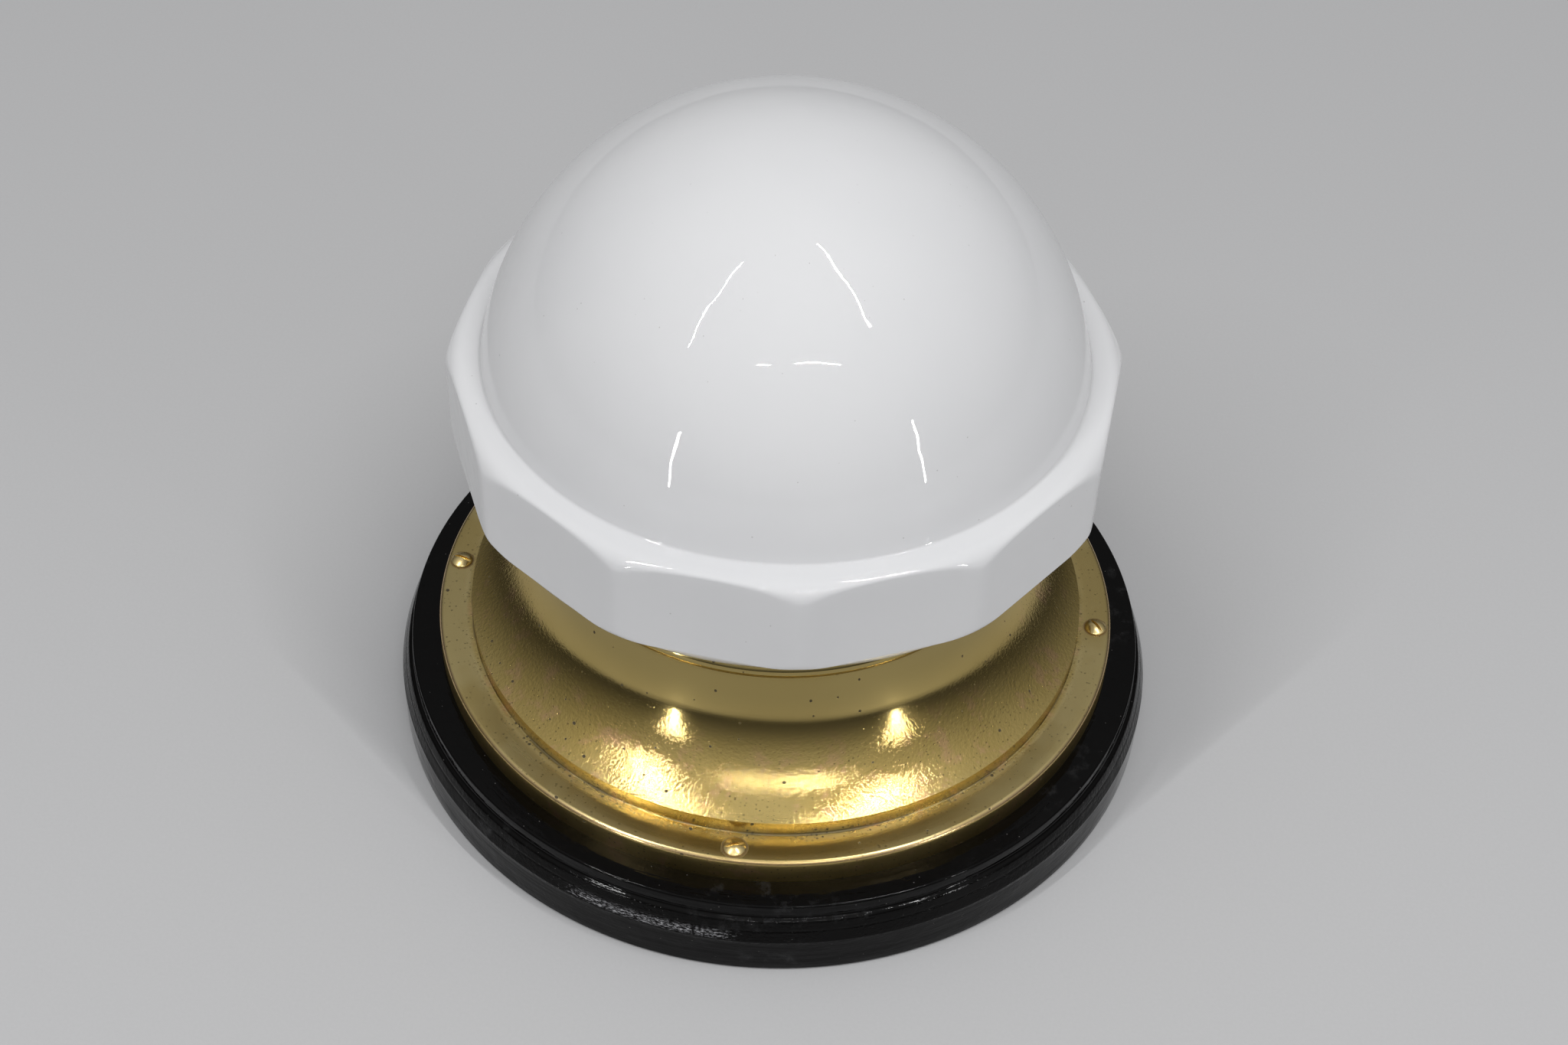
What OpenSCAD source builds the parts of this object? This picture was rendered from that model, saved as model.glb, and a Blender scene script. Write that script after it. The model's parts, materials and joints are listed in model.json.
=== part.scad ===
// Faceted opal glass light on a turned wooden rose with a spun brass gallery.
// The origin is the centre of the rose's underside, +Z is up, sizes are in millimetres.

/* [Wooden rose] */
// Diameter of the turned wooden rose
rose_d = 249; // [244:1:290]
// Height of the rose at its flat top
rose_h = 26.4; // [24:0.1:34]
// How far the sloping shoulder stands out beyond the raised top
shoulder_w = 4; // [3:0.1:6]
// Height of the shoulder, from the step's foot down to its lower edge
shoulder_h = 7.2; // [5:0.1:9]
// Radius of the roll at the top of the shoulder
shoulder_roll_r = 1.8; // [1:0.1:2.5]
// Drop from the raised top to the shoulder
step_h = 5; // [2:0.5:8]
// Radius of the hollow at the foot of that drop
step_hollow_r = 1.2; // [0.5:0.1:2]
// Softening radius of the rose's turned edges
rose_edge_r = 0.8; // [0.3:0.1:1.5]
// Diameter of the recess in the rose's back
recess_d = 170; // [160:1:190]
// Depth of the recess in the rose's back
recess_depth = 12; // [11.5:0.5:14]
// Diameter of the hole that takes the wires through the rose
wire_hole_d = 14; // [12:0.5:18]
// Diameter of the holes that hang the rose on a ceiling or wall
fixing_hole_d = 4; // [3.5:0.1:6]
// Distance between the two fixing holes
fixing_pitch = 150; // [120:1:154]

/* [Brass gallery] */
// Thickness of the spun brass sheet
sheet_t = 1; // [0.6:0.1:1.4]
// Outer diameter of the gallery's skirt
skirt_d = 222; // [218:1:236]
// Height of the skirt above the rose
skirt_h = 8.9; // [6:0.1:14]
// Outer radius of the rounded edge between skirt and flange
skirt_edge_r = 1.5; // [1.5:0.1:3]
// Width of the flat flange, from the skirt's outer face to the riser
flange_w = 11; // [10:0.1:14]
// Height of the riser up to the cove's sharp lower edge
riser_h = 5.2; // [3:0.1:9]
// Height of the hollow cove above its lower edge
cove_h = 37.9; // [34:0.1:50]
// Outer diameter of the collar at the top of the cove
collar_d = 148; // [146:1:152]
// Height from the top of the cove to the middle of the rolled bead
collar_h = 5.2; // [4:0.1:9]
// Diameter of the bead rolled outwards round the collar's rim
bead_d = 5.6; // [4.5:0.1:7]

/* [Gallery screws] */
// Number of screws that hold the gallery on the rose
gallery_screws_n = 4; // [3:1:6]
// Distance of these screws from the skirt's outer face
gallery_screw_inset = 5.1; // [4.5:0.1:5.5]
// Diameter of their domed heads
gallery_head_d = 7; // [5.5:0.1:8]
// Height of their domed heads
gallery_head_h = 1.8; // [1.2:0.1:2.4]
// Height of the heads' upright edge below the dome
gallery_head_wall = 0.5; // [0.2:0.1:0.8]
// Diameter of their shanks
gallery_shank_d = 3.4; // [3:0.1:4]
// How deep they go into the wood
gallery_screw_bite = 12; // [8:0.5:16]

/* [Shade retaining screws] */
// Diameter of the slotted grub screws that hold the shade
grub_d = 4; // [3:0.1:4.4]
// Length of a grub screw
grub_len = 5; // [4.5:0.1:7]
// Outer diameter of the bush that each grub screw turns in
bush_d = 7; // [6.4:0.1:8]
// How far a bush stands out beyond the collar
bush_len = 2.2; // [1.5:0.1:3]
// Height of the grub screws below the middle of the rolled bead
grub_drop = 7.2; // [7:0.1:8.5]
// Gap between the tips of the slackened grub screws and the lip
grub_lip_gap = 0.4; // [0.3:0.05:1]
// Turn of the grub screws from the gallery screws, in degrees
grub_turn = 5; // [0:1:25]

/* [Glass shade] */
// Number of flat facets round the band
facets_n = 12; // [8:1:16]
// Width of the band across two opposite facets
facet_af = 198; // [194:1:204]
// Diameter of the band across its softened corners
band_d = 204.4; // [204.2:0.1:205]
// Turn of the facets from the gallery screws, in degrees
facet_turn = 9; // [0:1:29]
// Height from the middle of the bead to the band's lower corners
band_rise = 30.8; // [28:0.1:40]
// Height of the upright part of the band
band_h = 23.5; // [16:0.1:34]
// Radius of the band's rounded upper shoulder
band_top_r = 6; // [5:0.1:8]
// Radius of the band's rounded lower shoulder
band_low_r = 4; // [3:0.1:6]
// Diameter of the dome
dome_d = 185.6; // [180:0.1:187]
// Height of the dome above the shelf round it
dome_h = 77; // [60:0.5:84]
// Radius of the hollow fillet at the foot of the dome
dome_fillet_r = 2.2; // [1:0.1:3]
// Thickness of the glass
glass_t = 4; // [3:0.1:5]
// Outer diameter of the shade's neck
neck_d = 140; // [134:0.5:141]
// Outer diameter of the lip at the foot of the neck
lip_d = 144; // [143:0.1:144.6]
// Height of the lip
lip_h = 4; // [3:0.1:5]
// Height from the top of the lip to the underside of a grub screw
lip_grub_gap = 1.5; // [0.5:0.1:3]
// Gap between the resting shade and the bead under it
shade_rest_gap = 0.3; // [0.2:0.05:0.6]

/* [Lampholder] */
// Diameter of the porcelain lampholder's foot
holder_foot_d = 60; // [60:1:70]
// Height of the foot
holder_foot_h = 8; // [6:0.5:10]
// Diameter of the lampholder's barrel
holder_d = 43; // [38:0.5:44]
// Height of the whole lampholder
holder_h = 46; // [44:0.5:52]
// Radius that softens the lampholder's glazed edges
holder_edge_r = 1.5; // [0.5:0.1:2.5]
// Diameter of the hollow under the lampholder
holder_cavity_d = 34; // [32:0.5:38]
// Height of the hollow under the lampholder
holder_cavity_h = 9; // [8:0.5:11]
// Thickness of the web between the hollow and the bore
holder_web_t = 3.5; // [2.5:0.1:5]
// Diameter of the bore that takes the threaded shell
holder_bore_d = 30; // [29.8:0.1:32]
// Distance between the two screws that hold the lampholder down
holder_screw_pitch = 51; // [50:0.5:51.5]
// Diameter of the lampholder screws' heads
holder_head_d = 6; // [5:0.1:6.4]
// Height of the lampholder screws' heads
holder_head_h = 2; // [1.2:0.1:3]
// Diameter of the lampholder screws' shanks
holder_shank_d = 3; // [2.4:0.1:3.5]
// How deep the lampholder screws go into the wood
holder_screw_bite = 7; // [4:0.5:9]
// Mean inner radius of the threaded shell
shell_r = 13.8; // [13.6:0.05:13.95]
// Wall of the threaded shell
shell_t = 0.5; // [0.3:0.05:0.6]
// Height of the threaded shell
shell_h = 28; // [24:0.5:30]
// Height of the shell's lower rim above the bore's floor
shell_lift = 3; // [2.5:0.1:4]
// Thickness of the contact strips
strip_t = 0.6; // [0.4:0.05:1]
// Width of the contact strips
strip_w = 8; // [6.4:0.1:9]
// Distance from the axis to each contact screw
contact_screw_x = 9; // [8.6:0.1:9.4]
// Height of the centre contact's tongue above the bore's floor
tongue_h = 4.5; // [4:0.1:6]

/* [Terminals and wires] */
// Outer diameter of each insulated wire
wire_d = 2.6; // [2:0.1:2.8]
// Diameter of the contact screws' shanks
contact_shank_d = 2.6; // [2:0.1:3]
// Diameter of the contact screws' heads
contact_head_d = 5; // [4:0.1:5.4]
// Height of the contact screws' heads
contact_head_h = 1.6; // [1:0.1:2]
// Width, depth and height of a lampholder terminal
terminal_size = [7, 9, 6];
// Width, length and height of the porcelain terminal block
block_size = [26, 24, 10.2];
// Distance from the rose's axis to the near end of the terminal block
block_y = 18; // [15:0.5:24]
// Distance between the two brass sleeves of the block
sleeve_pitch = 13; // [12.6:0.1:14]
// Outer diameter of a sleeve
sleeve_d = 4.8; // [4.6:0.1:5]
// Diameter of the block's clamping screws
clamp_screw_d = 2.6; // [2:0.1:3]
// Diameter of the shank of the screw that holds the block
block_screw_d = 3; // [2.4:0.1:3.2]
// Diameter of that screw's head
block_head_d = 6; // [5:0.1:6.4]

/* [Lamp] */
// Diameter of the lamp's round envelope
lamp_d = 60; // [55:1:65]
// Overall length of the lamp
lamp_len = 105; // [100:1:115]
// Wall of the lamp's envelope
lamp_wall = 0.8; // [0.5:0.1:1.2]
// Mean outer radius of the lamp's threaded cap
cap_r = 12.6; // [12.4:0.05:12.7]
// Wall of the lamp's cap
cap_t = 0.4; // [0.3:0.05:0.5]
// Height of the cap above the tip of its centre contact
cap_h = 24; // [22:0.5:26]
// Gap between the lamp's contact and the tongue under it
lamp_rest_gap = 0.3; // [0.2:0.05:0.5]
// Radius of the filament's open loop
filament_r = 14; // [10:0.5:17]
// Height of the lamp's glass stem above the contact's tip
stem_h = 45; // [40:0.5:50]
// Height of the stem's waist above its foot
waist_h = 12; // [8:0.5:16]
// Drop from the middle of the round envelope to the filament
filament_drop = 8; // [4:0.5:12]

/* [Hidden] */
$fn = 96;

// Clearances of the fits
screw_fit = 0.05;
hole_play = 0.15;
cut = 1;

// Slots of the screws
slot_w = 0.9;
slot_share = 0.55;
gallery_slot_turns = [110, 130, 75, 164, 20, 100];
contact_slot_turn = 25;
holder_slot_turn = 35;
block_slot_turn = 60;
grub_slot_h = 1.4;

// Rose
rose_r = rose_d / 2;
rose_top_r = rose_r - shoulder_w;
shoulder_z = rose_h - step_h;
foot_radius = 1;
side_edge_r = 0.5;
side_z = shoulder_z - shoulder_h;
roll_z = shoulder_z - shoulder_roll_r;
step_hollow_z = roll_z + sqrt(pow(shoulder_roll_r + step_hollow_r, 2) - pow(step_hollow_r, 2));

// Gallery
skirt_r = skirt_d / 2;
gallery_screw_at = skirt_r - gallery_screw_inset;
riser_r = skirt_r - flange_w;
collar_r = collar_d / 2;
flange_z = rose_h + skirt_h;
edge_z = flange_z + riser_h;
collar_z = edge_z + cove_h;
bead_z = collar_z + collar_h;
bead_r = bead_d / 2;
bead_at = collar_r - sheet_t + bead_r;
bead_slit = 0.5;
// The cove is one arc that ends upright at the collar
cove_run = riser_r - collar_r;
cove_r = (pow(cove_run, 2) + pow(cove_h, 2)) / (2 * cove_run);
cove_at = collar_r + cove_r;

// Grub screws, named as seen from the front
grub_z = bead_z - grub_drop;
grub_angles = [-150 + grub_turn, -30 + grub_turn, 90 + grub_turn];
grub_tip = lip_d / 2 + grub_lip_gap;
bush_face = collar_r + bush_len;
grub_point_h = 0.8;

// Shade
neck_r = neck_d / 2;
lip_r = lip_d / 2;
lip_top_z = grub_z - grub_d / 2 - lip_grub_gap;
lip_z = lip_top_z - lip_h;
band_r = band_d / 2;
corner_r = facet_af / 2 / cos(180 / facets_n);
band_low_z = bead_z + band_rise;
band_top_z = band_low_z + band_h;
shelf_z = band_top_z + band_top_r;
dome_r = dome_d / 2;
dome_top_z = shelf_z + dome_h;
dome_z = dome_top_z - dome_r;
band_top_at = band_r - band_top_r;
band_low_at = band_r - band_low_r;
// The underside is a cone that touches the lower shoulder and, but for the rest gap, the bead
bead_reach = bead_r + shade_rest_gap;
lip_soft = 1;
hollow_soft = 3;
under_run = band_low_at - bead_at;
under_rise = band_low_z - bead_z;
under_angle = atan2(under_rise, under_run)
    - asin((band_low_r + bead_reach) / norm([under_run, under_rise]));
under_foot = [bead_at - bead_reach * sin(under_angle), bead_z + bead_reach * cos(under_angle)];
under_head = [band_low_at + band_low_r * sin(under_angle),
    band_low_z - band_low_r * cos(under_angle)];
neck_top_z = under_foot[1] - (under_foot[0] - neck_r) * tan(under_angle);
fillet_at = sqrt(pow(dome_r, 2) - pow(shelf_z + dome_fillet_r - dome_z, 2)) + dome_fillet_r;

// Lampholder
holder_r = holder_d / 2;
holder_foot_r = holder_foot_d / 2;
holder_floor_z = rose_h + holder_cavity_h + holder_web_t;
holder_top_z = rose_h + holder_h;
shell_z = holder_floor_z + shell_lift;
thread_pitch = 3.6;
thread_swing = 0.4;
thread_steps = 8;
tab_reach = 4;
tongue_w = strip_w - 2;
wire_drop = 3.6;
wire_axis_z = rose_h + holder_cavity_h - wire_drop;

// Terminal block
block_z = recess_depth - block_size[2];
sleeve_z = block_z + block_size[2] / 2;
sleeve_bore_d = wire_d + 2 * screw_fit;
sleeve_inset = 1;
clamp_inset = 5;
clamp_sunk = 0.6;
block_head_h = 2;
block_head_sunk = 0.5;
block_bite = 6;

// Wires, as points of their centre lines for the right-hand one
wire_leaves = [contact_screw_x, 6.5, wire_axis_z];
wire_enters = [2.6, 3.4, rose_h - 2];
wire_emerges = [wire_enters[0], wire_enters[1], recess_depth - 0.5];
leaving_bends = [[-1.5, 0.8, -1], [-4.6, -1.2, -3.2]];
emerging_bends = [[0.6, 1.6, -2.5], [2.2, 5.5, -4.2]];
wire_straight = 3;
wire_end_inset = 1;
wire_route = [
    [contact_screw_x, wire_end_inset - terminal_size[1] / 2, wire_axis_z],
    [contact_screw_x, terminal_size[1] / 2, wire_axis_z],
    wire_leaves,
    wire_leaves + leaving_bends[0],
    wire_leaves + leaving_bends[1],
    wire_enters,
    wire_emerges,
    wire_emerges + emerging_bends[0],
    wire_emerges + emerging_bends[1],
    [sleeve_pitch / 2, block_y - wire_straight, sleeve_z],
    [sleeve_pitch / 2, block_y, sleeve_z],
    [sleeve_pitch / 2, block_y + clamp_inset + wire_straight, sleeve_z]];

// Lamp
lamp_z = holder_floor_z + tongue_h + lamp_rest_gap;
lamp_r = lamp_d / 2;
lamp_ball_z = lamp_z + lamp_len - lamp_r;
cap_low_z = lamp_z + 3.9;
cap_top_z = lamp_z + cap_h;
cap_hole_r = 9.2;
cap_turn_in = 1;
cap_rim_h = 1.5;
cap_bore_r = cap_r - thread_swing - cap_t;
lamp_neck_r = cap_bore_r - 0.4;
lamp_neck_low = cap_top_z - 7;
lamp_flare = [lamp_neck_r + 2.6, cap_top_z + 4.5];
contact_r = 3;
contact_h = 1.3;
stem_low = lamp_neck_low + 1;
stem_top_z = lamp_z + stem_h;
stem_r = 3;
stem_wall = 1;
loop_z = lamp_ball_z - filament_drop;
filament_wire_r = 0.3;
lead_wire_r = 0.35;
support_angles = [210, 270, 330];

// Point at a distance and an angle in the plane
function polar(r, a) = [r * cos(a), r * sin(a)];

// Points of a wavy thread line between two heights
function thread_line(r, z0, z1, swing) = [
    for (i = [0 : ceil((z1 - z0) / thread_pitch * thread_steps)])
        let (z = min(z1, z0 + i * thread_pitch / thread_steps))
        [r - swing * cos(360 * (z - z0) / thread_pitch), z]];

// Points of a list in reverse order
function backwards(list) = [for (i = [len(list) - 1 : -1 : 0]) list[i]];

// Places its children evenly round the axis
module ring_of(n, r, start = 0) {
    for (i = [0 : n - 1])
        rotate([0, 0, start + i * 360 / n])
            translate([r, 0, 0])
                children();
}

// Places its children on both sides of the axis along X
module on_both_sides(x) {
    for (side = [-1, 1])
        translate([side * x, 0, 0])
            children();
}

// Flat-topped rectangle with one rounded upper outer corner, from the axis outwards
module rounded_step(r, z, low, edge) {
    translate([0, low])
        square([r, z - low - edge]);
    translate([0, low])
        square([r - edge, z - low]);
    translate([r - edge, z - edge])
        circle(edge);
}

// Slotted screw with a domed head, its seat at the origin and its shank downwards
module dome_screw(head_d, head_h, shank_d, len, turn, slot = slot_w, wall = 0) {
    rise = head_h - wall;
    ball_r = (pow(head_d / 2, 2) + pow(rise, 2)) / (2 * rise);
    tip_h = shank_d * 0.8;
    difference() {
        intersection() {
            translate([0, 0, head_h - ball_r])
                sphere(ball_r);
            cylinder(d = head_d, h = head_h + cut);
        }
        rotate([0, 0, turn])
            translate([-head_d, -slot / 2, head_h * (1 - slot_share)])
                cube([2 * head_d, slot, head_h]);
    }
    translate([0, 0, -len + tip_h])
        cylinder(d = shank_d, h = len - tip_h);
    translate([0, 0, -len])
        cylinder(d1 = shank_d / 4, d2 = shank_d, h = tip_h);
}

// Flat-headed slotted machine screw, its seat at the origin and its shank downwards
module pan_screw(head_d, head_h, shank_d, len, turn) {
    difference() {
        cylinder(d = head_d, h = head_h);
        rotate([0, 0, turn])
            translate([-head_d, -slot_w / 2, head_h * (1 - slot_share)])
                cube([2 * head_d, slot_w, head_h]);
    }
    translate([0, 0, -len])
        cylinder(d = shank_d, h = len);
}

// Turned outline of the rose
module rose_outline() {
    rounded_step(rose_top_r, rose_h, 0, rose_edge_r);
    hull() {
        translate([rose_top_r, roll_z])
            circle(shoulder_roll_r);
        translate([rose_r - side_edge_r, side_z - side_edge_r])
            circle(side_edge_r);
        translate([0, foot_radius])
            square([rose_r, side_z - side_edge_r - foot_radius]);
        translate([rose_r - foot_radius, foot_radius])
            circle(foot_radius);
        square([rose_r - foot_radius, foot_radius]);
    }
    difference() {
        polygon([[rose_top_r - step_hollow_r, roll_z], [rose_top_r, roll_z],
            [rose_top_r + step_hollow_r, step_hollow_z], [rose_top_r - step_hollow_r, step_hollow_z]]);
        translate([rose_top_r + step_hollow_r, step_hollow_z])
            circle(step_hollow_r);
    }
}

// Black turned wooden rose with its back recess and all its holes
module rose() {
    pilot_d = gallery_shank_d + 2 * screw_fit;
    color("#141312")
        difference() {
            rotate_extrude()
                intersection() {
                    rose_outline();
                    square([rose_r, rose_h]);
                }
            translate([0, 0, -cut])
                cylinder(d = recess_d, h = recess_depth + cut);
            cylinder(d = wire_hole_d, h = rose_h + cut);
            on_both_sides(fixing_pitch / 2)
                cylinder(d = fixing_hole_d, h = rose_h + cut);
            translate([0, 0, rose_h - gallery_screw_bite - cut])
                ring_of(gallery_screws_n, gallery_screw_at, -90)
                    cylinder(d = pilot_d, h = gallery_screw_bite + 2 * cut);
            on_both_sides(holder_screw_pitch / 2)
                translate([0, 0, rose_h - holder_screw_bite - cut])
                    cylinder(d = holder_shank_d + 2 * screw_fit, h = holder_screw_bite + 2 * cut);
            translate([0, block_y + block_size[1] / 2, 0])
                cylinder(d = block_screw_d + 2 * screw_fit, h = recess_depth + block_bite + cut);
        }
}

// Section of the spun sheet, from the skirt's foot to the rolled bead
module gallery_section() {
    difference() {
        rounded_step(skirt_r, flange_z, rose_h, skirt_edge_r);
        translate([0, rose_h - cut])
            rounded_step(skirt_r - sheet_t, flange_z - sheet_t - rose_h + cut, 0,
                skirt_edge_r - sheet_t);
        square([riser_r - sheet_t, edge_z]);
    }
    translate([riser_r - sheet_t, flange_z - sheet_t])
        square([sheet_t, riser_h + sheet_t / 2]);
    intersection() {
        translate([cove_at, collar_z])
            difference() {
                circle(cove_r + sheet_t);
                circle(cove_r);
            }
        translate([0, flange_z])
            square([riser_r, collar_z - flange_z]);
    }
    translate([collar_r - sheet_t, collar_z])
        square([sheet_t, bead_z - collar_z]);
    difference() {
        translate([bead_at, bead_z])
            circle(bead_r);
        translate([bead_at, bead_z])
            circle(bead_r - sheet_t);
        translate([collar_r, bead_z - bead_r])
            square([bead_slit, bead_r - sheet_t / 2]);
    }
}

// Everything inside the gallery's outer face below the bead
module gallery_filled() {
    rotate_extrude()
        difference() {
            translate([0, edge_z])
                square([riser_r, collar_z - edge_z]);
            translate([cove_at, collar_z])
                circle(cove_r);
        }
    translate([0, 0, collar_z])
        cylinder(r = collar_r, h = collar_h);
}

// Spun brass gallery
module gallery() {
    color("#a98a3c")
        difference() {
            rotate_extrude()
                gallery_section();
            translate([0, 0, flange_z - sheet_t - cut])
                ring_of(gallery_screws_n, gallery_screw_at, -90)
                    cylinder(d = gallery_shank_d + 2 * hole_play, h = sheet_t + 2 * cut);
            at_grub_screws()
                cylinder(d = grub_d + 2 * hole_play, h = bead_r + 2 * cut);
        }
}

// Children lie along +Z from the collar outwards at each grub screw
module at_grub_screws() {
    for (angle = grub_angles)
        rotate([0, 0, angle])
            translate([collar_r - sheet_t - cut, 0, grub_z])
                rotate([0, 90, 0])
                    children();
}

// Brass screws that hold the gallery on the rose
module gallery_screws() {
    color("#d9b354")
        for (i = [0 : gallery_screws_n - 1])
            rotate([0, 0, -90 + i * 360 / gallery_screws_n])
                translate([gallery_screw_at, 0, flange_z])
                    dome_screw(gallery_head_d, gallery_head_h, gallery_shank_d,
                        skirt_h + gallery_screw_bite, gallery_slot_turns[i],
                        wall = gallery_head_wall);
}

// Tapped bushes soldered to the collar's outer face
module grub_screw_bushes() {
    color("#b39245")
        difference() {
            at_grub_screws()
                cylinder(d = bush_d, h = sheet_t + cut + bush_len);
            gallery_filled();
            at_grub_screws()
                cylinder(d = grub_d + 2 * screw_fit, h = sheet_t + 2 * cut + bush_len);
        }
}

// Slotted grub screw, slackened until its tip just clears the shade's lip
module retaining_screw(angle) {
    color("#c9a650")
        rotate([0, 0, angle])
            translate([grub_tip, 0, grub_z])
                rotate([0, 90, 0])
                    difference() {
                        union() {
                            cylinder(d1 = grub_d / 2, d2 = grub_d, h = grub_point_h);
                            translate([0, 0, grub_point_h])
                                cylinder(d = grub_d, h = grub_len - grub_point_h);
                        }
                        translate([-slot_w / 2, -grub_d, grub_len - grub_slot_h])
                            cube([slot_w, 2 * grub_d, grub_slot_h + cut]);
                    }
}

module retaining_screw_left() {
    retaining_screw(grub_angles[0]);
}

module retaining_screw_right() {
    retaining_screw(grub_angles[1]);
}

module retaining_screw_rear() {
    retaining_screw(grub_angles[2]);
}

// Section of the solid that the facets are cut from
module shade_outline() {
    intersection() {
        translate([0, dome_z])
            circle(dome_r);
        translate([0, shelf_z - glass_t])
            square([dome_r, dome_top_z]);
    }
    difference() {
        translate([0, shelf_z - cut])
            square([fillet_at, dome_fillet_r + cut]);
        translate([fillet_at, shelf_z + dome_fillet_r])
            circle(dome_fillet_r);
    }
    translate([band_top_at, band_top_z])
        circle(band_top_r);
    translate([0, band_low_z])
        square([band_r, band_h]);
    translate([0, band_low_z])
        square([band_top_at, band_h + band_top_r]);
    translate([band_low_at, band_low_z])
        circle(band_low_r);
    polygon([[0, neck_top_z], [neck_r, neck_top_z], under_foot, under_head,
        [under_head[0], band_low_z + cut], [0, band_low_z + cut]]);
    translate([0, lip_z])
        square([neck_r, neck_top_z - lip_z + cut]);
    translate([0, lip_z])
        difference() {
            square([lip_r, lip_h]);
            translate([lip_r, 0])
                rotate(45)
                    square(lip_soft, center = true);
            translate([lip_r, lip_h])
                rotate(45)
                    square(lip_soft, center = true);
        }
}

// Section of the smooth hollow inside the shade
module shade_hollow() {
    inner_r = facet_af / 2 - glass_t;
    wall_shift = glass_t / cos(under_angle);
    slope = tan(under_angle);
    foot_z = neck_top_z + wall_shift;
    hollow_low_z = foot_z + (inner_r - neck_r) * slope;
    intersection() {
        translate([0, dome_z])
            circle(dome_r - glass_t);
        translate([0, shelf_z - 2 * glass_t])
            square([dome_r, dome_top_z]);
    }
    rounded_step(inner_r, shelf_z - glass_t, hollow_low_z, hollow_soft);
    polygon([[0, foot_z - glass_t * slope], [neck_r - glass_t, foot_z - glass_t * slope],
        [inner_r, hollow_low_z], [inner_r, hollow_low_z + cut], [0, hollow_low_z + cut]]);
    translate([0, lip_z - cut])
        square([neck_r - glass_t, foot_z - lip_z + cut]);
}

// Moulded opal glass shade: dome, shelf, faceted band, bowl, neck and lip
module glass_shade() {
    color("#e6e9ec")
        difference() {
            intersection() {
                rotate_extrude()
                    intersection() {
                        shade_outline();
                        translate([0, lip_z])
                            square([band_r, dome_top_z]);
                    }
                rotate([0, 0, facet_turn])
                    translate([0, 0, lip_z - cut])
                        cylinder(r = corner_r, h = dome_top_z, $fn = facets_n);
            }
            rotate_extrude()
                intersection() {
                    shade_hollow();
                    translate([0, lip_z - 2 * cut])
                        square([band_r, dome_top_z]);
                }
        }
}

// Porcelain body of the lampholder
module lampholder_body() {
    color("#e9e6dd")
        difference() {
            rotate_extrude() {
                rounded_step(holder_foot_r, rose_h + holder_foot_h, rose_h, holder_edge_r);
                rounded_step(holder_r, holder_top_z, rose_h, holder_edge_r);
            }
            translate([0, 0, rose_h - cut])
                cylinder(d = holder_cavity_d, h = holder_cavity_h + cut);
            translate([0, 0, holder_floor_z])
                cylinder(d = holder_bore_d, h = holder_h);
            on_both_sides(contact_screw_x)
                translate([0, 0, rose_h])
                    cylinder(d = contact_shank_d + 2 * hole_play, h = holder_h);
            on_both_sides(holder_screw_pitch / 2)
                translate([0, 0, rose_h - cut])
                    cylinder(d = holder_shank_d + 2 * hole_play, h = holder_h);
        }
}

// Threaded brass shell of the lampholder with its contact tab
module lampholder_shell() {
    inner = thread_line(shell_r, shell_z, shell_z + shell_h, thread_swing);
    outer = [for (p = inner) [p[0] + shell_t, p[1]]];
    wall = shell_r - thread_swing;
    color("#b8923f") {
        rotate_extrude()
            polygon(concat(inner, backwards(outer)));
        intersection() {
            translate([-holder_r, -strip_w / 2, holder_floor_z])
                cube([holder_r, strip_w, shell_lift + strip_t]);
            difference() {
                translate([0, 0, holder_floor_z])
                    cylinder(r = wall + shell_t, h = shell_lift + strip_t);
                translate([0, 0, holder_floor_z + strip_t])
                    cylinder(r = wall, h = shell_lift + strip_t);
                translate([-tab_reach, -strip_w, holder_floor_z - cut])
                    cube([holder_r, 2 * strip_w, shell_lift + 2 * cut]);
                translate([-contact_screw_x, 0, holder_floor_z - cut])
                    cylinder(d = contact_shank_d + 2 * hole_play, h = strip_t + 2 * cut);
            }
        }
    }
}

// Springy centre contact: a flat foot and a rising tongue
module centre_contact() {
    foot_x = contact_screw_x + 3;
    lean = 0.6;
    bend_x = contact_screw_x - contact_head_d / 2 - lean;
    flat_x = [-3, 2];
    color("#c08f45")
        difference() {
            union() {
                translate([bend_x, -strip_w / 2, holder_floor_z])
                    cube([foot_x - bend_x, strip_w, strip_t]);
                translate([0, tongue_w / 2, holder_floor_z])
                    rotate([90, 0, 0])
                        linear_extrude(tongue_w)
                            polygon([[bend_x, 0], [bend_x, strip_t], [flat_x[1], tongue_h],
                                [flat_x[0], tongue_h], [flat_x[0], tongue_h - strip_t],
                                [flat_x[1] - lean, tongue_h - strip_t], [bend_x - lean, 0]]);
            }
            translate([contact_screw_x, 0, holder_floor_z - cut])
                cylinder(d = contact_shank_d + 2 * hole_play, h = strip_t + 2 * cut);
        }
}

// Screws that hold both contact strips and clamp the wires under the web
module contact_screws() {
    reach = holder_web_t + strip_t + wire_drop - wire_d / 2;
    color("#c9a650")
        on_both_sides(contact_screw_x)
            translate([0, 0, holder_floor_z + strip_t])
                pan_screw(contact_head_d, contact_head_h, contact_shank_d, reach,
                    contact_slot_turn);
}

// Brass terminals under the lampholder's web
module lampholder_terminals() {
    size = terminal_size;
    color("#b8923f")
        on_both_sides(contact_screw_x)
            difference() {
                translate([-size[0] / 2, -size[1] / 2, rose_h + holder_cavity_h - size[2]])
                    cube(size);
                translate([0, size[1], wire_axis_z])
                    rotate([90, 0, 0])
                        cylinder(d = wire_d + 2 * screw_fit, h = 2 * size[1]);
                translate([0, 0, wire_axis_z])
                    cylinder(d = contact_shank_d + 2 * screw_fit, h = size[2]);
            }
}

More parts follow.
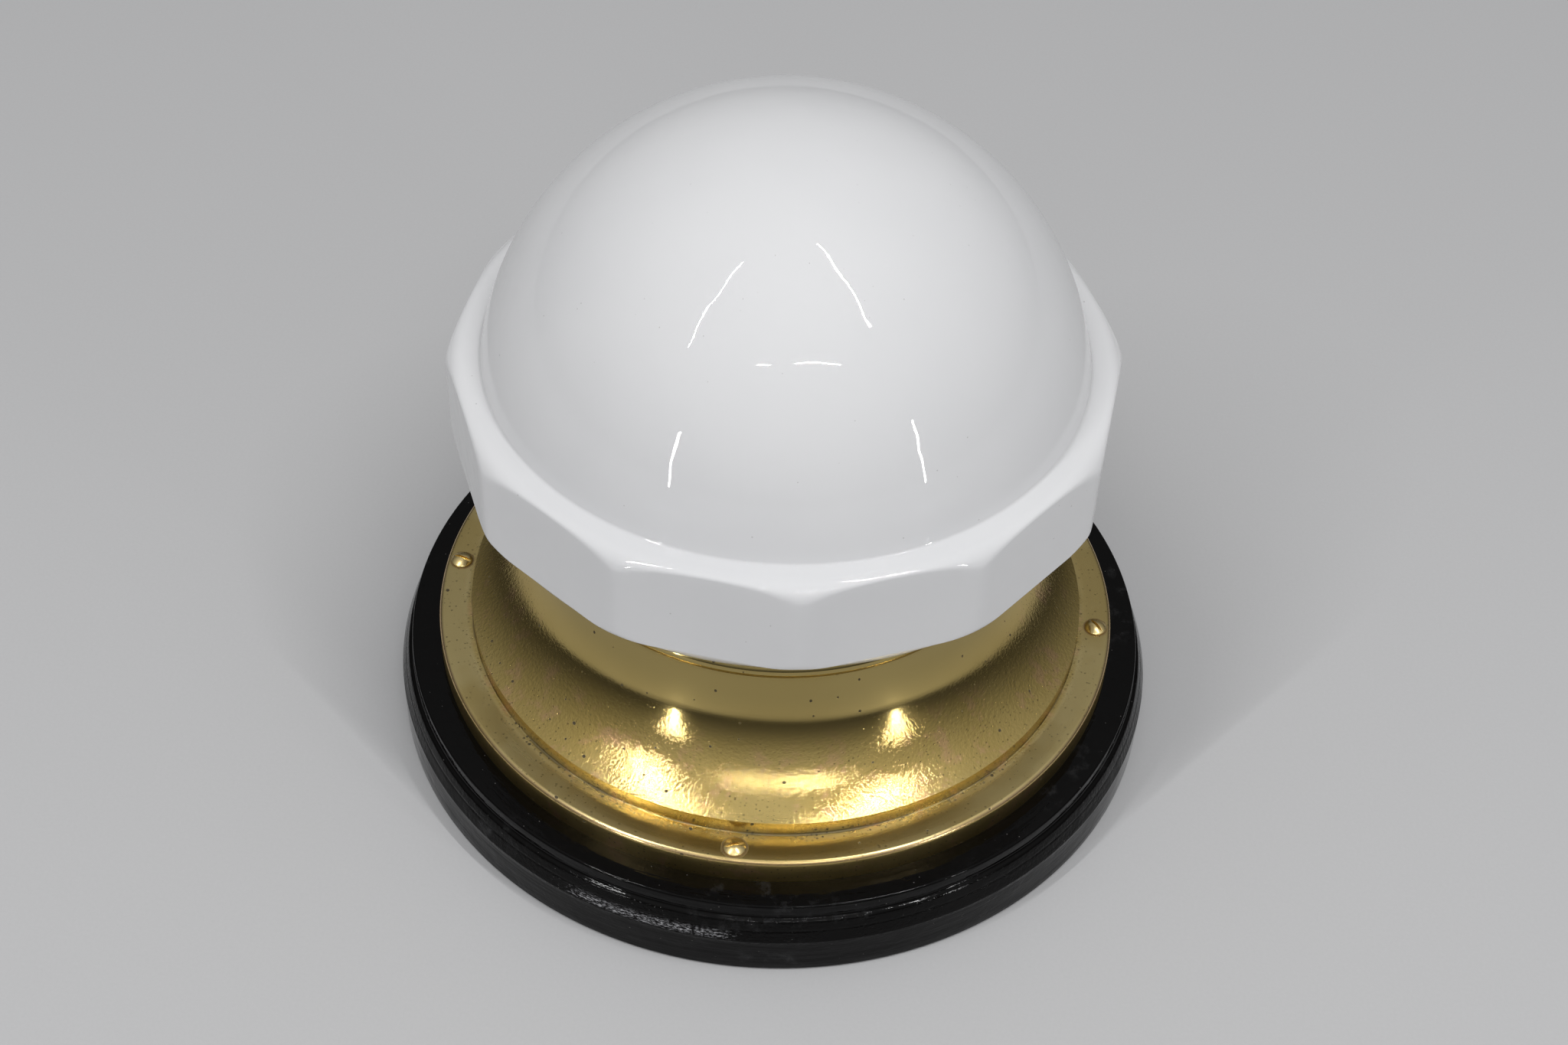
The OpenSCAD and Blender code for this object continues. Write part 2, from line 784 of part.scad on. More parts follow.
// Screws that hold the lampholder on the rose
module lampholder_screws() {
    color("#b9b7b0")
        on_both_sides(holder_screw_pitch / 2)
            translate([0, 0, rose_h + holder_foot_h])
                dome_screw(holder_head_d, holder_head_h, holder_shank_d,
                    holder_foot_h + holder_screw_bite, holder_slot_turn);
}

// Point at a share t of the way between b and c, on a smooth curve through a, b, c and d
function curve_point(a, b, c, d, t) = b + t / 2 * ((c - a)
    + t * ((2 * a - 5 * b + 4 * c - d) + t * (3 * (b - c) + d - a)));

// Route with extra points that make it one smooth curve
function smooth_route(points, parts) = concat(
    [for (i = [0 : len(points) - 2], j = [0 : parts - 1])
        curve_point(points[max(i - 1, 0)], points[i], points[i + 1],
            points[min(i + 2, len(points) - 1)], j / parts)],
    [points[len(points) - 1]]);

// Unit vector along a vector
function unit(v) = v / norm(v);

// Ring of points square to the route at its point i
function ring_at(route, i, r, sides, across) =
    let (along = unit(route[min(i + 1, len(route) - 1)] - route[max(i - 1, 0)]))
    let (u = unit(cross(along, across)))
    let (v = cross(along, u))
    [for (k = [0 : sides - 1])
        route[i] + r * (cos(360 * k / sides) * u + sin(360 * k / sides) * v)];

// Round wire swept along a route that never runs along the vector across
module wire_along(route, d, across, sides = 8) {
    rings = len(route);
    points = [for (i = [0 : rings - 1]) each ring_at(route, i, d / 2, sides, across)];
    walls = [for (i = [0 : rings - 2], k = [0 : sides - 1])
        let (a = i * sides + k)
        let (b = i * sides + (k + 1) % sides)
        each [[b, a, a + sides], [b, a + sides, b + sides]]];
    first = [for (k = [0 : sides - 1]) k];
    last = [for (k = [sides - 1 : -1 : 0]) (rings - 1) * sides + k];
    polyhedron(points, concat(walls, [first, last]));
}

// Insulated wires from the lampholder's terminals to the block
module wire_right() {
    color("#3a3530")
        wire_along(smooth_route(wire_route, 2), wire_d, [1, 0, 0]);
}

module wire_left() {
    color("#8a4a2c")
        mirror([1, 0, 0])
            wire_along(smooth_route(wire_route, 2), wire_d, [1, 0, 0]);
}

// Porcelain block in the rose's back recess
module terminal_block() {
    middle_y = block_y + block_size[1] / 2;
    color("#ece9e0")
        difference() {
            translate([-block_size[0] / 2, block_y, block_z])
                cube(block_size);
            on_both_sides(sleeve_pitch / 2)
                translate([0, block_y - cut, sleeve_z])
                    rotate([-90, 0, 0])
                        cylinder(d = sleeve_d + 2 * screw_fit, h = block_size[1] + 2 * cut);
            at_clamp_screws()
                cylinder(d = clamp_screw_d + 2 * hole_play, h = block_size[2] / 2 + cut);
            translate([0, middle_y, block_z - cut])
                cylinder(d = block_screw_d + 2 * hole_play, h = block_size[2] + 2 * cut);
            translate([0, middle_y, block_z - cut])
                cylinder(d = block_head_d + 2 * hole_play,
                    h = block_head_h + block_head_sunk + cut);
        }
}

// Children lie along +Z from just below the block at each clamping screw
module at_clamp_screws() {
    for (y = [block_y + clamp_inset, block_y + block_size[1] - clamp_inset])
        on_both_sides(sleeve_pitch / 2)
            translate([0, y, block_z - cut])
                children();
}

// Brass sleeves inside the terminal block
module terminal_sleeves() {
    color("#b8923f")
        difference() {
            on_both_sides(sleeve_pitch / 2)
                translate([0, block_y + sleeve_inset, sleeve_z])
                    rotate([-90, 0, 0])
                        cylinder(d = sleeve_d, h = block_size[1] - 2 * sleeve_inset);
            on_both_sides(sleeve_pitch / 2)
                translate([0, block_y, sleeve_z])
                    rotate([-90, 0, 0])
                        cylinder(d = sleeve_bore_d, h = block_size[1]);
            at_clamp_screws()
                cylinder(d = clamp_screw_d + 2 * screw_fit, h = block_size[2] / 2 + cut);
        }
}

// Slotted screws that clamp the wires in the sleeves
module clamp_screws() {
    len = sleeve_z - wire_d / 2 - screw_fit - block_z - clamp_sunk;
    color("#b9b7b0")
        difference() {
            at_clamp_screws()
                translate([0, 0, cut + clamp_sunk])
                    cylinder(d = clamp_screw_d, h = len);
            at_clamp_screws()
                translate([-clamp_screw_d, -slot_w / 2, cut])
                    cube([2 * clamp_screw_d, slot_w, clamp_sunk + 1]);
        }
}

// Screw that holds the terminal block in the recess
module block_screw() {
    color("#b9b7b0")
        translate([0, block_y + block_size[1] / 2, block_z + block_head_sunk + block_head_h])
            mirror([0, 0, 1])
                dome_screw(block_head_d, block_head_h, block_screw_d,
                    block_size[2] - block_head_sunk - block_head_h + block_bite, block_slot_turn);
}

// Outline of a lamp envelope with the radii drawn in by a wall
module envelope_outline(wall) {
    ball_r = lamp_r - wall;
    flare = [lamp_flare[0] - wall, lamp_flare[1]];
    away = flare - [0, lamp_ball_z];
    touch = polar(ball_r, atan2(away[1], away[0]) + acos(ball_r / norm(away)));
    translate([0, lamp_ball_z])
        circle(ball_r);
    polygon([[0, lamp_neck_low - wall], [lamp_neck_r - wall, lamp_neck_low - wall],
        [lamp_neck_r - wall, cap_top_z + lamp_wall], flare, touch + [0, lamp_ball_z],
        [0, lamp_ball_z]]);
}

// Clear glass envelope of the lamp
module bulb_glass() {
    color("#dfe6e8", 0.4)
        rotate_extrude()
            intersection() {
                difference() {
                    envelope_outline(0);
                    envelope_outline(lamp_wall);
                }
                translate([0, lamp_neck_low])
                    square([lamp_r, lamp_len]);
            }
}

// Threaded cap of the lamp
module bulb_cap() {
    thread_low_z = cap_low_z + cap_turn_in;
    outer = concat([[cap_hole_r, cap_low_z], [cap_r - thread_swing, thread_low_z]],
        thread_line(cap_r, thread_low_z, cap_top_z - cap_rim_h, thread_swing),
        [[cap_r + thread_swing, cap_top_z]]);
    inner = [for (p = outer) [p[0] - cap_t, p[1] + (p[1] == cap_low_z ? cap_t : 0)]];
    color("#b9bbbd")
        rotate_extrude()
            polygon(concat(outer, backwards(inner)));
}

// Dark glass insulator between the cap and the contact
module bulb_insulator() {
    outer_r = cap_bore_r - 0.2;
    throat_r = cap_hole_r - 0.6;
    seat_r = contact_r + 1.5;
    low_z = lamp_z + contact_h;
    shoulder_z = cap_low_z + cap_turn_in + cap_t;
    color("#1c1a19")
        rotate_extrude()
            polygon([[0, low_z], [seat_r, low_z], [throat_r, cap_low_z],
                [throat_r, cap_low_z + cap_t], [outer_r, shoulder_z],
                [outer_r, shoulder_z + cap_turn_in], [0, shoulder_z + cap_turn_in]]);
}

// Soldered contact at the foot of the lamp
module bulb_contact() {
    ball_r = (pow(contact_r, 2) + pow(contact_h, 2)) / (2 * contact_h);
    color("#a9abad")
        intersection() {
            translate([0, 0, lamp_z + ball_r])
                sphere(ball_r);
            translate([0, 0, lamp_z - cut])
                cylinder(r = contact_r, h = contact_h + cut);
        }
}

// Glass stem fused into the lamp's neck
module bulb_stem() {
    flare_r = lamp_neck_r - lamp_wall;
    flare_foot_z = stem_low + stem_wall;
    flare_head_z = flare_foot_z + 1.5 * stem_wall;
    waist_z = stem_low + waist_h;
    color("#dfe6e8", 0.5)
        rotate_extrude()
            polygon([[0, flare_foot_z + stem_wall], [flare_r - 1.5 * stem_wall, flare_foot_z],
                [flare_r, stem_low], [flare_r, flare_foot_z], [flare_r - stem_wall, flare_head_z],
                [stem_r + stem_wall, (flare_head_z + waist_z) / 2], [stem_r, waist_z],
                [stem_r, stem_top_z - stem_wall], [stem_r - stem_wall, stem_top_z],
                [0, stem_top_z]]);
}

// Leads and supports that rise from the stem to the filament
module bulb_wires() {
    lead_foot = stem_r - 1.6;
    support_foot = 0.6;
    straight = 3;
    color("#8f8a80") {
        for (angle = [0, 180])
            rotate([0, 0, angle])
                wire_along([[lead_foot, 0, stem_top_z], [lead_foot, 0, stem_top_z + straight],
                    [filament_r, 0, loop_z - filament_wire_r]], 2 * lead_wire_r, [0, 1, 0]);
        for (angle = support_angles)
            rotate([0, 0, angle])
                wire_along([[support_foot, 0, stem_top_z], [support_foot, 0, stem_top_z + straight],
                    [filament_r, 0, loop_z - filament_wire_r]], lead_wire_r, [0, 1, 0]);
    }
}

// Filament that runs half round the lamp between its leads
module filament() {
    color("#6b6660")
        translate([0, 0, loop_z])
            rotate([0, 0, 180])
                rotate_extrude(angle = 180)
                    translate([filament_r, 0])
                        circle(filament_wire_r, $fn = 16);
}

rose();
gallery();
gallery_screws();
grub_screw_bushes();
lampholder_body();
lampholder_shell();
centre_contact();
contact_screws();
lampholder_terminals();
lampholder_screws();
wire_left();
wire_right();
terminal_block();
terminal_sleeves();
clamp_screws();
block_screw();
retaining_screw_left();
retaining_screw_right();
retaining_screw_rear();
glass_shade();
bulb_glass();
bulb_cap();
bulb_insulator();
bulb_contact();
bulb_stem();
bulb_wires();
filament();
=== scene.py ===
"""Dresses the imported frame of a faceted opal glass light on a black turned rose.

The moulded glass, the spun gallery, the turned rose and its screws get finer pieces of
their own. Every other node of the frame keeps its shape and gets its finish. All sizes
are in metres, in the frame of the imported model: the origin is the centre of the rose's
underside and Z points up through the top of the glass.
"""

import json
import logging
import math
from dataclasses import dataclass
from enum import Enum
from functools import cached_property, reduce
from typing import Any

import bpy
from mathutils import Matrix, Quaternion, Vector, noise

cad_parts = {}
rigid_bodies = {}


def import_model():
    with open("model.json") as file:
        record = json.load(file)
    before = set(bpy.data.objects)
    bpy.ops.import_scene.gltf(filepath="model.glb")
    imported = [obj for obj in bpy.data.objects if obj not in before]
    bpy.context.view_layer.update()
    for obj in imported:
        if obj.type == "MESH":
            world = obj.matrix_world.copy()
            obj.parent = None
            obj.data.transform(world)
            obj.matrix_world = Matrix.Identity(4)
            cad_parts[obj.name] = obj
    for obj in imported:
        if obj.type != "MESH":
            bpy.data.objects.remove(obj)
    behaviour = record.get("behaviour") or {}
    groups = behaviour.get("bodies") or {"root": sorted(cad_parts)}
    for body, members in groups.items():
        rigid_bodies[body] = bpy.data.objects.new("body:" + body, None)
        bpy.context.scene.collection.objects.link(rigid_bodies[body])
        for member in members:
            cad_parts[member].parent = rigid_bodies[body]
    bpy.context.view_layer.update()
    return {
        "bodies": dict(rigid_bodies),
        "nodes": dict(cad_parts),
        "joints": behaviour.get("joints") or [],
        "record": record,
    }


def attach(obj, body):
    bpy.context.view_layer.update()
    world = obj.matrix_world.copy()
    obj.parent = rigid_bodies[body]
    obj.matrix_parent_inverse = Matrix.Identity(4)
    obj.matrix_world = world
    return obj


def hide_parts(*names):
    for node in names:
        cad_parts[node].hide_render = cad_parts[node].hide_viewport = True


LOG = logging.getLogger("light")
MM = 0.001
TOUCHING = 0.01 * MM
UNROLLED_R = 0.1

Point = tuple[float, float]
Outline = list[Point]
Colour = tuple[float, float, float]
Place = tuple[float, float, float]
Piece = bpy.types.Object
Material = bpy.types.Material
Socket = bpy.types.NodeSocket


class Body(Enum):
    """Bodies of the frame that the new pieces ride on."""

    ROOT = "root"
    SHADE = "shade"


class Slot(Enum):
    """Names of the record's material slots that the new pieces' finishes match."""

    WOOD = "black_wood"
    GALLERY = "gallery_brass"
    SCREW = "screw_brass"
    OPAL = "opal_glass"


def arc(middle: Point, radius: float, start: float, end: float, parts: int) -> Outline:
    """Gives points along an arc.

    Args:
        middle: Centre of the arc as radius and height.
        radius: Radius of the arc.
        start: Angle of the first point in degrees.
        end: Angle of the last point in degrees.
        parts: Number of straight parts.

    Returns:
        The points, both ends included.
    """
    turns = [math.radians(start + (end - start) * i / parts) for i in range(parts + 1)]
    r, z = middle
    return [(r + radius * math.cos(turn), z + radius * math.sin(turn)) for turn in turns]


def run(start: Point, end: Point, parts: int) -> Outline:
    """Gives the points of a straight run.

    Args:
        start: First point.
        end: Last point.
        parts: Number of equal parts.

    Returns:
        The points in order, both ends included.
    """
    r, z = start
    out, up = end[0] - r, end[1] - z
    return [(r + out * i / parts, z + up * i / parts) for i in range(parts + 1)]


def joined(*stretches: Outline) -> Outline:
    """Joins stretches of an outline and drops points that repeat.

    Args:
        *stretches: Lists of points that follow one another.

    Returns:
        One list of points.
    """
    points: Outline = []
    for stretch in stretches:
        for point in stretch:
            if not points or math.dist(points[-1], point) > TOUCHING:
                points.append(point)
    return points


def soft_least(a: float, b: float, blend: float) -> float:
    """Gives the lesser of two numbers, rounded off where they are close.

    Args:
        a: First number.
        b: Second number.
        blend: Difference within which the lesser is rounded off.

    Returns:
        The softened lesser number.
    """
    near = max(blend - abs(a - b), 0.0) / blend
    return min(a, b) - near * near * blend / 4


class Bench:
    """Blender's own modelling tools, used on one new piece at a time."""

    @staticmethod
    def clear() -> None:
        """Leaves edit mode and deselects everything."""
        if bpy.context.object and bpy.context.object.mode != "OBJECT":
            bpy.ops.object.mode_set(mode="OBJECT")
        bpy.ops.object.select_all(action="DESELECT")

    @staticmethod
    def pick(piece: Piece) -> None:
        """Makes one piece the only selected and active one.

        Args:
            piece: Piece to work on.
        """
        Bench.clear()
        piece.select_set(True)
        bpy.context.view_layer.objects.active = piece

    @staticmethod
    def turned(name: str, outline: Outline, steps: int, closed: bool) -> Piece:
        """Turns an outline round the Z axis, as on a lathe.

        Args:
            name: Name of the piece.
            outline: Points of radius and height.
            steps: Number of steps in a full turn.
            closed: Whether the last point joins the first.

        Returns:
            The turned piece, with its faces outwards.
        """
        Bench.clear()
        start = outline[0]
        bpy.ops.mesh.primitive_plane_add(size=MM, location=(start[0], 0, start[1]))
        piece = bpy.context.object
        piece.name = name
        piece.data.name = name
        bpy.ops.object.transform_apply(location=True, rotation=True, scale=True)
        bpy.ops.object.mode_set(mode="EDIT")
        bpy.ops.mesh.select_all(action="SELECT")
        bpy.ops.mesh.merge(type="CENTER")
        for here, there in zip(outline, outline[1:]):
            step = (there[0] - here[0], 0, there[1] - here[1])
            bpy.ops.mesh.extrude_region_move(TRANSFORM_OT_translate={"value": step})
        if closed:
            bpy.ops.mesh.select_all(action="DESELECT")
            bpy.ops.object.mode_set(mode="OBJECT")
            piece.data.vertices[0].select = True
            piece.data.vertices[len(piece.data.vertices) - 1].select = True
            bpy.ops.object.mode_set(mode="EDIT")
            bpy.ops.mesh.edge_face_add()
        bpy.ops.mesh.select_all(action="SELECT")
        bpy.ops.mesh.spin(steps=steps, angle=math.tau, center=(0, 0, 0), axis=(0, 0, 1))
        bpy.ops.mesh.select_all(action="SELECT")
        bpy.ops.mesh.remove_doubles(threshold=0.002 * MM)
        bpy.ops.mesh.normals_make_consistent(inside=False)
        bpy.ops.object.mode_set(mode="OBJECT")
        return piece

    @staticmethod
    def modify(piece: Piece, kind: str, **settings: Any) -> None:
        """Puts a modifier on a piece and applies it.

        Args:
            piece: Piece to change.
            kind: Kind of the modifier.
            **settings: What its settings are, by name.
        """
        Bench.pick(piece)
        modifier = piece.modifiers.new(kind, kind)
        for key, value in settings.items():
            setattr(modifier, key, value)
        bpy.ops.object.modifier_apply(modifier=modifier.name)

    @staticmethod
    def cut(piece: Piece, tool: Piece) -> None:
        """Cuts one piece with another and removes the tool."""
        Bench.modify(piece, "BOOLEAN", operation="DIFFERENCE", solver="EXACT", object=tool)
        bpy.data.objects.remove(tool)

    @staticmethod
    def smooth(piece: Piece, angle: float) -> None:
        """Shades a piece smooth up to an angle in degrees."""
        Bench.pick(piece)
        bpy.ops.object.shade_smooth_by_angle(angle=math.radians(angle))

    @staticmethod
    def placed(piece: Piece, turn: float, place: Place | Vector) -> None:
        """Turns a piece about Z, moves it and keeps its place in its mesh.

        Args:
            piece: Piece to place.
            turn: Turn about Z in degrees.
            place: Where its origin goes.
        """
        Bench.pick(piece)
        piece.rotation_euler = (0, 0, math.radians(turn))
        piece.location = place
        bpy.ops.object.transform_apply(location=True, rotation=True, scale=True)


class Nodes:
    """A tree of nodes, built in few words."""

    def __init__(self, tree: bpy.types.NodeTree) -> None:
        """Works in one tree."""
        self.tree = tree

    def give(self, node: bpy.types.Node, key: int | str, value: Any) -> None:
        """Links a socket to a node's input, or sets the input's value.

        Args:
            node: Node that has the input.
            key: The input's number, or its name with spaces written as underscores.
            value: Socket, number or colour.
        """
        place = node.inputs[key.replace("_", " ") if isinstance(key, str) else key]
        if isinstance(value, Socket):
            self.tree.links.new(value, place)
        elif place.type == "RGBA":
            place.default_value = (*value, 1.0)
        else:
            place.default_value = value

    def node(self, kind: str, *values: Any, **named: Any) -> bpy.types.Node:
        """Adds a node and gives its inputs.

        Args:
            kind: Kind of the node.
            *values: What its first inputs get, in order.
            **named: What other inputs get, by name.

        Returns:
            The new node.
        """
        node = self.tree.nodes.new("ShaderNode" + kind)
        for key, value in [*enumerate(values), *named.items()]:
            self.give(node, key, value)
        return node

    def maths(self, kind: str, a: Any, b: Any = 0.0, clamp: bool = False) -> Socket:
        """Gives the result of one operation on numbers.

        Args:
            kind: Name of the operation.
            a: First number or socket.
            b: Second number or socket.
            clamp: Whether the result stays between 0 and 1.

        Returns:
            The result.
        """
        node = self.node("Math", a, b)
        node.operation = kind
        node.use_clamp = clamp
        return node.outputs[0]

    def times(self, *values: Any) -> Any:
        """Multiplies numbers and sockets."""
        return reduce(lambda a, b: self.maths("MULTIPLY", a, b), values)

    def plus(self, *values: Any) -> Any:
        """Adds numbers and sockets."""
        return reduce(lambda a, b: self.maths("ADD", a, b), values)

    def most(self, *values: Any) -> Any:
        """Gives the greatest of numbers and sockets."""
        return reduce(lambda a, b: self.maths("MAXIMUM", a, b), values)

    def less(self, a: Any, b: Any) -> Socket:
        """Gives a less b."""
        return self.maths("SUBTRACT", a, b)

    def length(self, a: Any, b: Any) -> Socket:
        """Gives the length of a vector with two parts."""
        return self.maths("SQRT", self.plus(self.times(a, a), self.times(b, b)))

    def raised(self, base: Any, *layers: tuple[Any, float]) -> Any:
        """Adds layers to a number, each times its own strength."""
        return self.plus(base, *(self.times(layer, strength) for layer, strength in layers))

    def parts(self, vector: Any) -> list[Socket]:
        """Splits a vector into its three numbers."""
        return list(self.node("SeparateXYZ", vector).outputs)

    def vector(self, x: Any, y: Any, z: Any) -> Socket:
        """Joins three numbers into a vector."""
        return self.node("CombineXYZ", x, y, z).outputs[0]


class Graph(Nodes):
    """A material's nodes, with one shader."""

    def __init__(self, name: str) -> None:
        """Starts a material.

        Args:
            name: Name of the material.
        """
        self.material = bpy.data.materials.new(name)
        self.material.use_nodes = True
        super().__init__(self.material.node_tree)
        self.tree.nodes.clear()
        self.shader = self.node("BsdfPrincipled")
        self.node("OutputMaterial", Surface=self.shader.outputs["BSDF"])

    def shade(self, **values: Any) -> Material:
        """Gives inputs of the shader, by name.

        Args:
            **values: What each input gets.

        Returns:
            The material.
        """
        for key, value in values.items():
            self.give(self.shader, key, value)
        return self.material

    @cached_property
    def place(self) -> Socket:
        """Gives the object coordinates."""
        return self.node("TexCoord").outputs["Object"]

    @cached_property
    def xyz(self) -> list[Socket]:
        """Gives the three object coordinates one by one."""
        return self.parts(self.place)

    @cached_property
    def radius(self) -> Socket:
        """Gives the distance from the Z axis."""
        return self.length(*self.xyz[:2])

    @cached_property
    def unrolled(self) -> Socket:
        """Gives the way round the axis and the way along a turned outline, laid flat.

        Returns:
            The vector.
        """
        x, y, z = self.xyz
        round_way = self.times(self.maths("ARCTAN2", x, y), UNROLLED_R)
        return self.vector(round_way, self.less(z, self.radius), 0.0)

    def stretched(self, *scales: float) -> Socket:
        """Gives the object coordinates, each times its own number."""
        return self.vector(*(self.times(part, scale) for part, scale in zip(self.xyz, scales)))

    def noise(
        self, scale: float, detail: float = 3.0, rough: float = 0.5, at: Any = None, w: Any = None
    ) -> Socket:
        """Gives a noise between 0 and 1.

        Args:
            scale: Waves in a metre.
            detail: How many finer layers it has.
            rough: Strength of the finer layers.
            at: Where it is read, if not at the object coordinates.
            w: Fourth coordinate, where the noise has one.

        Returns:
            The noise.
        """
        at = self.place if at is None else at
        node = self.node("TexNoise", Vector=at, Scale=scale, Detail=detail, Roughness=rough)
        if w is not None:
            node.noise_dimensions = "4D"
            self.give(node, "W", w)
        return node.outputs[0]

    def around(self, turns: float, fine: float, detail: float = 2.0) -> Socket:
        """Gives a noise drawn out round the Z axis, as a lathe or a spinning tool leaves.

        Args:
            turns: Waves in a radius round the axis.
            fine: Waves in a metre across the marks.
            detail: How many finer layers it has.

        Returns:
            The noise.
        """
        x, y, z = self.xyz
        radius = self.most(self.radius, MM)
        share = self.maths("DIVIDE", turns, radius)
        at = self.vector(self.times(x, share), self.times(y, share), self.times(radius, fine))
        return self.noise(1.0, detail, 0.55, at, self.times(z, fine))

    def spots(self, scale: float, size: float, share: float) -> Socket:
        """Gives 1 on small scattered spots of a turned surface and 0 between them.

        Args:
            scale: Cells in a metre.
            size: Greatest radius of a spot, as a share of a cell.
            share: Share of the cells that have a spot.

        Returns:
            The mask.
        """
        cells = self.node("TexVoronoi", Vector=self.unrolled, Scale=scale)
        cells.voronoi_dimensions = "2D"
        chance = self.parts(cells.outputs["Color"])[0]
        room = self.times(self.less(chance, 1.0 - share), 0.6 * size / share)
        room = self.plus(room, 0.4 * size)
        here = self.maths("GREATER_THAN", chance, 1.0 - share)
        ragged = self.times(self.noise(scale * 5, 2.0), size * 0.8)
        inside = self.less(room, self.plus(cells.outputs["Distance"], ragged))
        soft = self.maths("MULTIPLY", self.plus(inside, size * 0.4), 5 / size, clamp=True)
        return self.times(soft, here)

    def between(self, value: Any, low: float, high: float) -> Socket:
        """Gives 0 at low and 1 at high, with soft ends.

        Args:
            value: Number or socket that is looked at.
            low: Where the result is 0.
            high: Where the result is 1.

        Returns:
            The result.
        """
        node = self.node("MapRange", value, low, high)
        node.interpolation_type = "SMOOTHSTEP"
        return node.outputs[0]

    def near(self, value: Any, size: float, low: float, high: float) -> Socket:
        """Gives 0 at low and 1 at high, both in millimetres from a size."""
        return self.between(value, size + low * MM, size + high * MM)

    def cloud(self, scale: float, detail: float, low: float, high: float) -> Socket:
        """Gives a soft patchy mask: a noise that is 0 below low and 1 above high."""
        return self.between(self.noise(scale, detail), low, high)

    def painted(self, colour: Any, *coats: tuple) -> Socket:
        """Lays coats of colour over one another.

        Args:
            colour: Colour or socket below them all.
            *coats: Each coat's colour, and then the shares that make its thickness.

        Returns:
            The last colour.
        """
        for coat, *shares in coats:
            node = self.node("Mix", self.times(*shares))
            node.data_type = "RGBA"
            self.give(node, 6, colour)
            self.give(node, 7, coat)
            colour = node.outputs[2]
        return colour

    def relief(self, *layers: tuple[Any, float]) -> Socket:
        """Turns layers of relief into a surface normal.

        Args:
            *layers: Each layer's height from 0 to 1 and its depth in metres, lowest first.

        Returns:
            The normal.
        """
        under = {}
        for height, depth in layers:
            node = self.node("Bump", Height=height, Distance=depth, **under)
            under = {"Normal": node.outputs[0]}
        return under["Normal"]


@dataclass(frozen=True)
class OpalFinish:
    """Glossy white opal glass with a faint ripple from its mould."""

    colour: Colour = (0.725, 0.726, 0.734)
    cool: Colour = (0.675, 0.678, 0.69)
    dust: Colour = (0.35, 0.34, 0.33)
    roughness: float = 0.012
    ripple: float = 0.10 * MM
    fine_ripple: float = 0.065 * MM
    glow: float = 0.15
    depth: float = 6 * MM

    def made(self) -> Material:
        """Builds the material.

        Returns:
            The opal glass.
        """
        graph = Graph("opal_glass")
        colour = graph.painted(
            self.colour,
            (self.cool, graph.cloud(14, 2.0, 0.35, 0.7), 0.5),
            (self.dust, graph.spots(150, 0.05, 0.05), 0.5),
        )
        normal = graph.relief(
            (graph.noise(42, 1.0), self.ripple),
            (graph.noise(110, 1.0), self.fine_ripple),
        )
        return graph.shade(
            Base_Color=colour,
            Roughness=graph.raised(self.roughness, (graph.cloud(60, 4.0, 0.45, 0.75), 0.02)),
            IOR=1.52,
            Subsurface_Weight=self.glow,
            Subsurface_Radius=(1, 1, 1),
            Subsurface_Scale=self.depth,
            Normal=normal,
        )


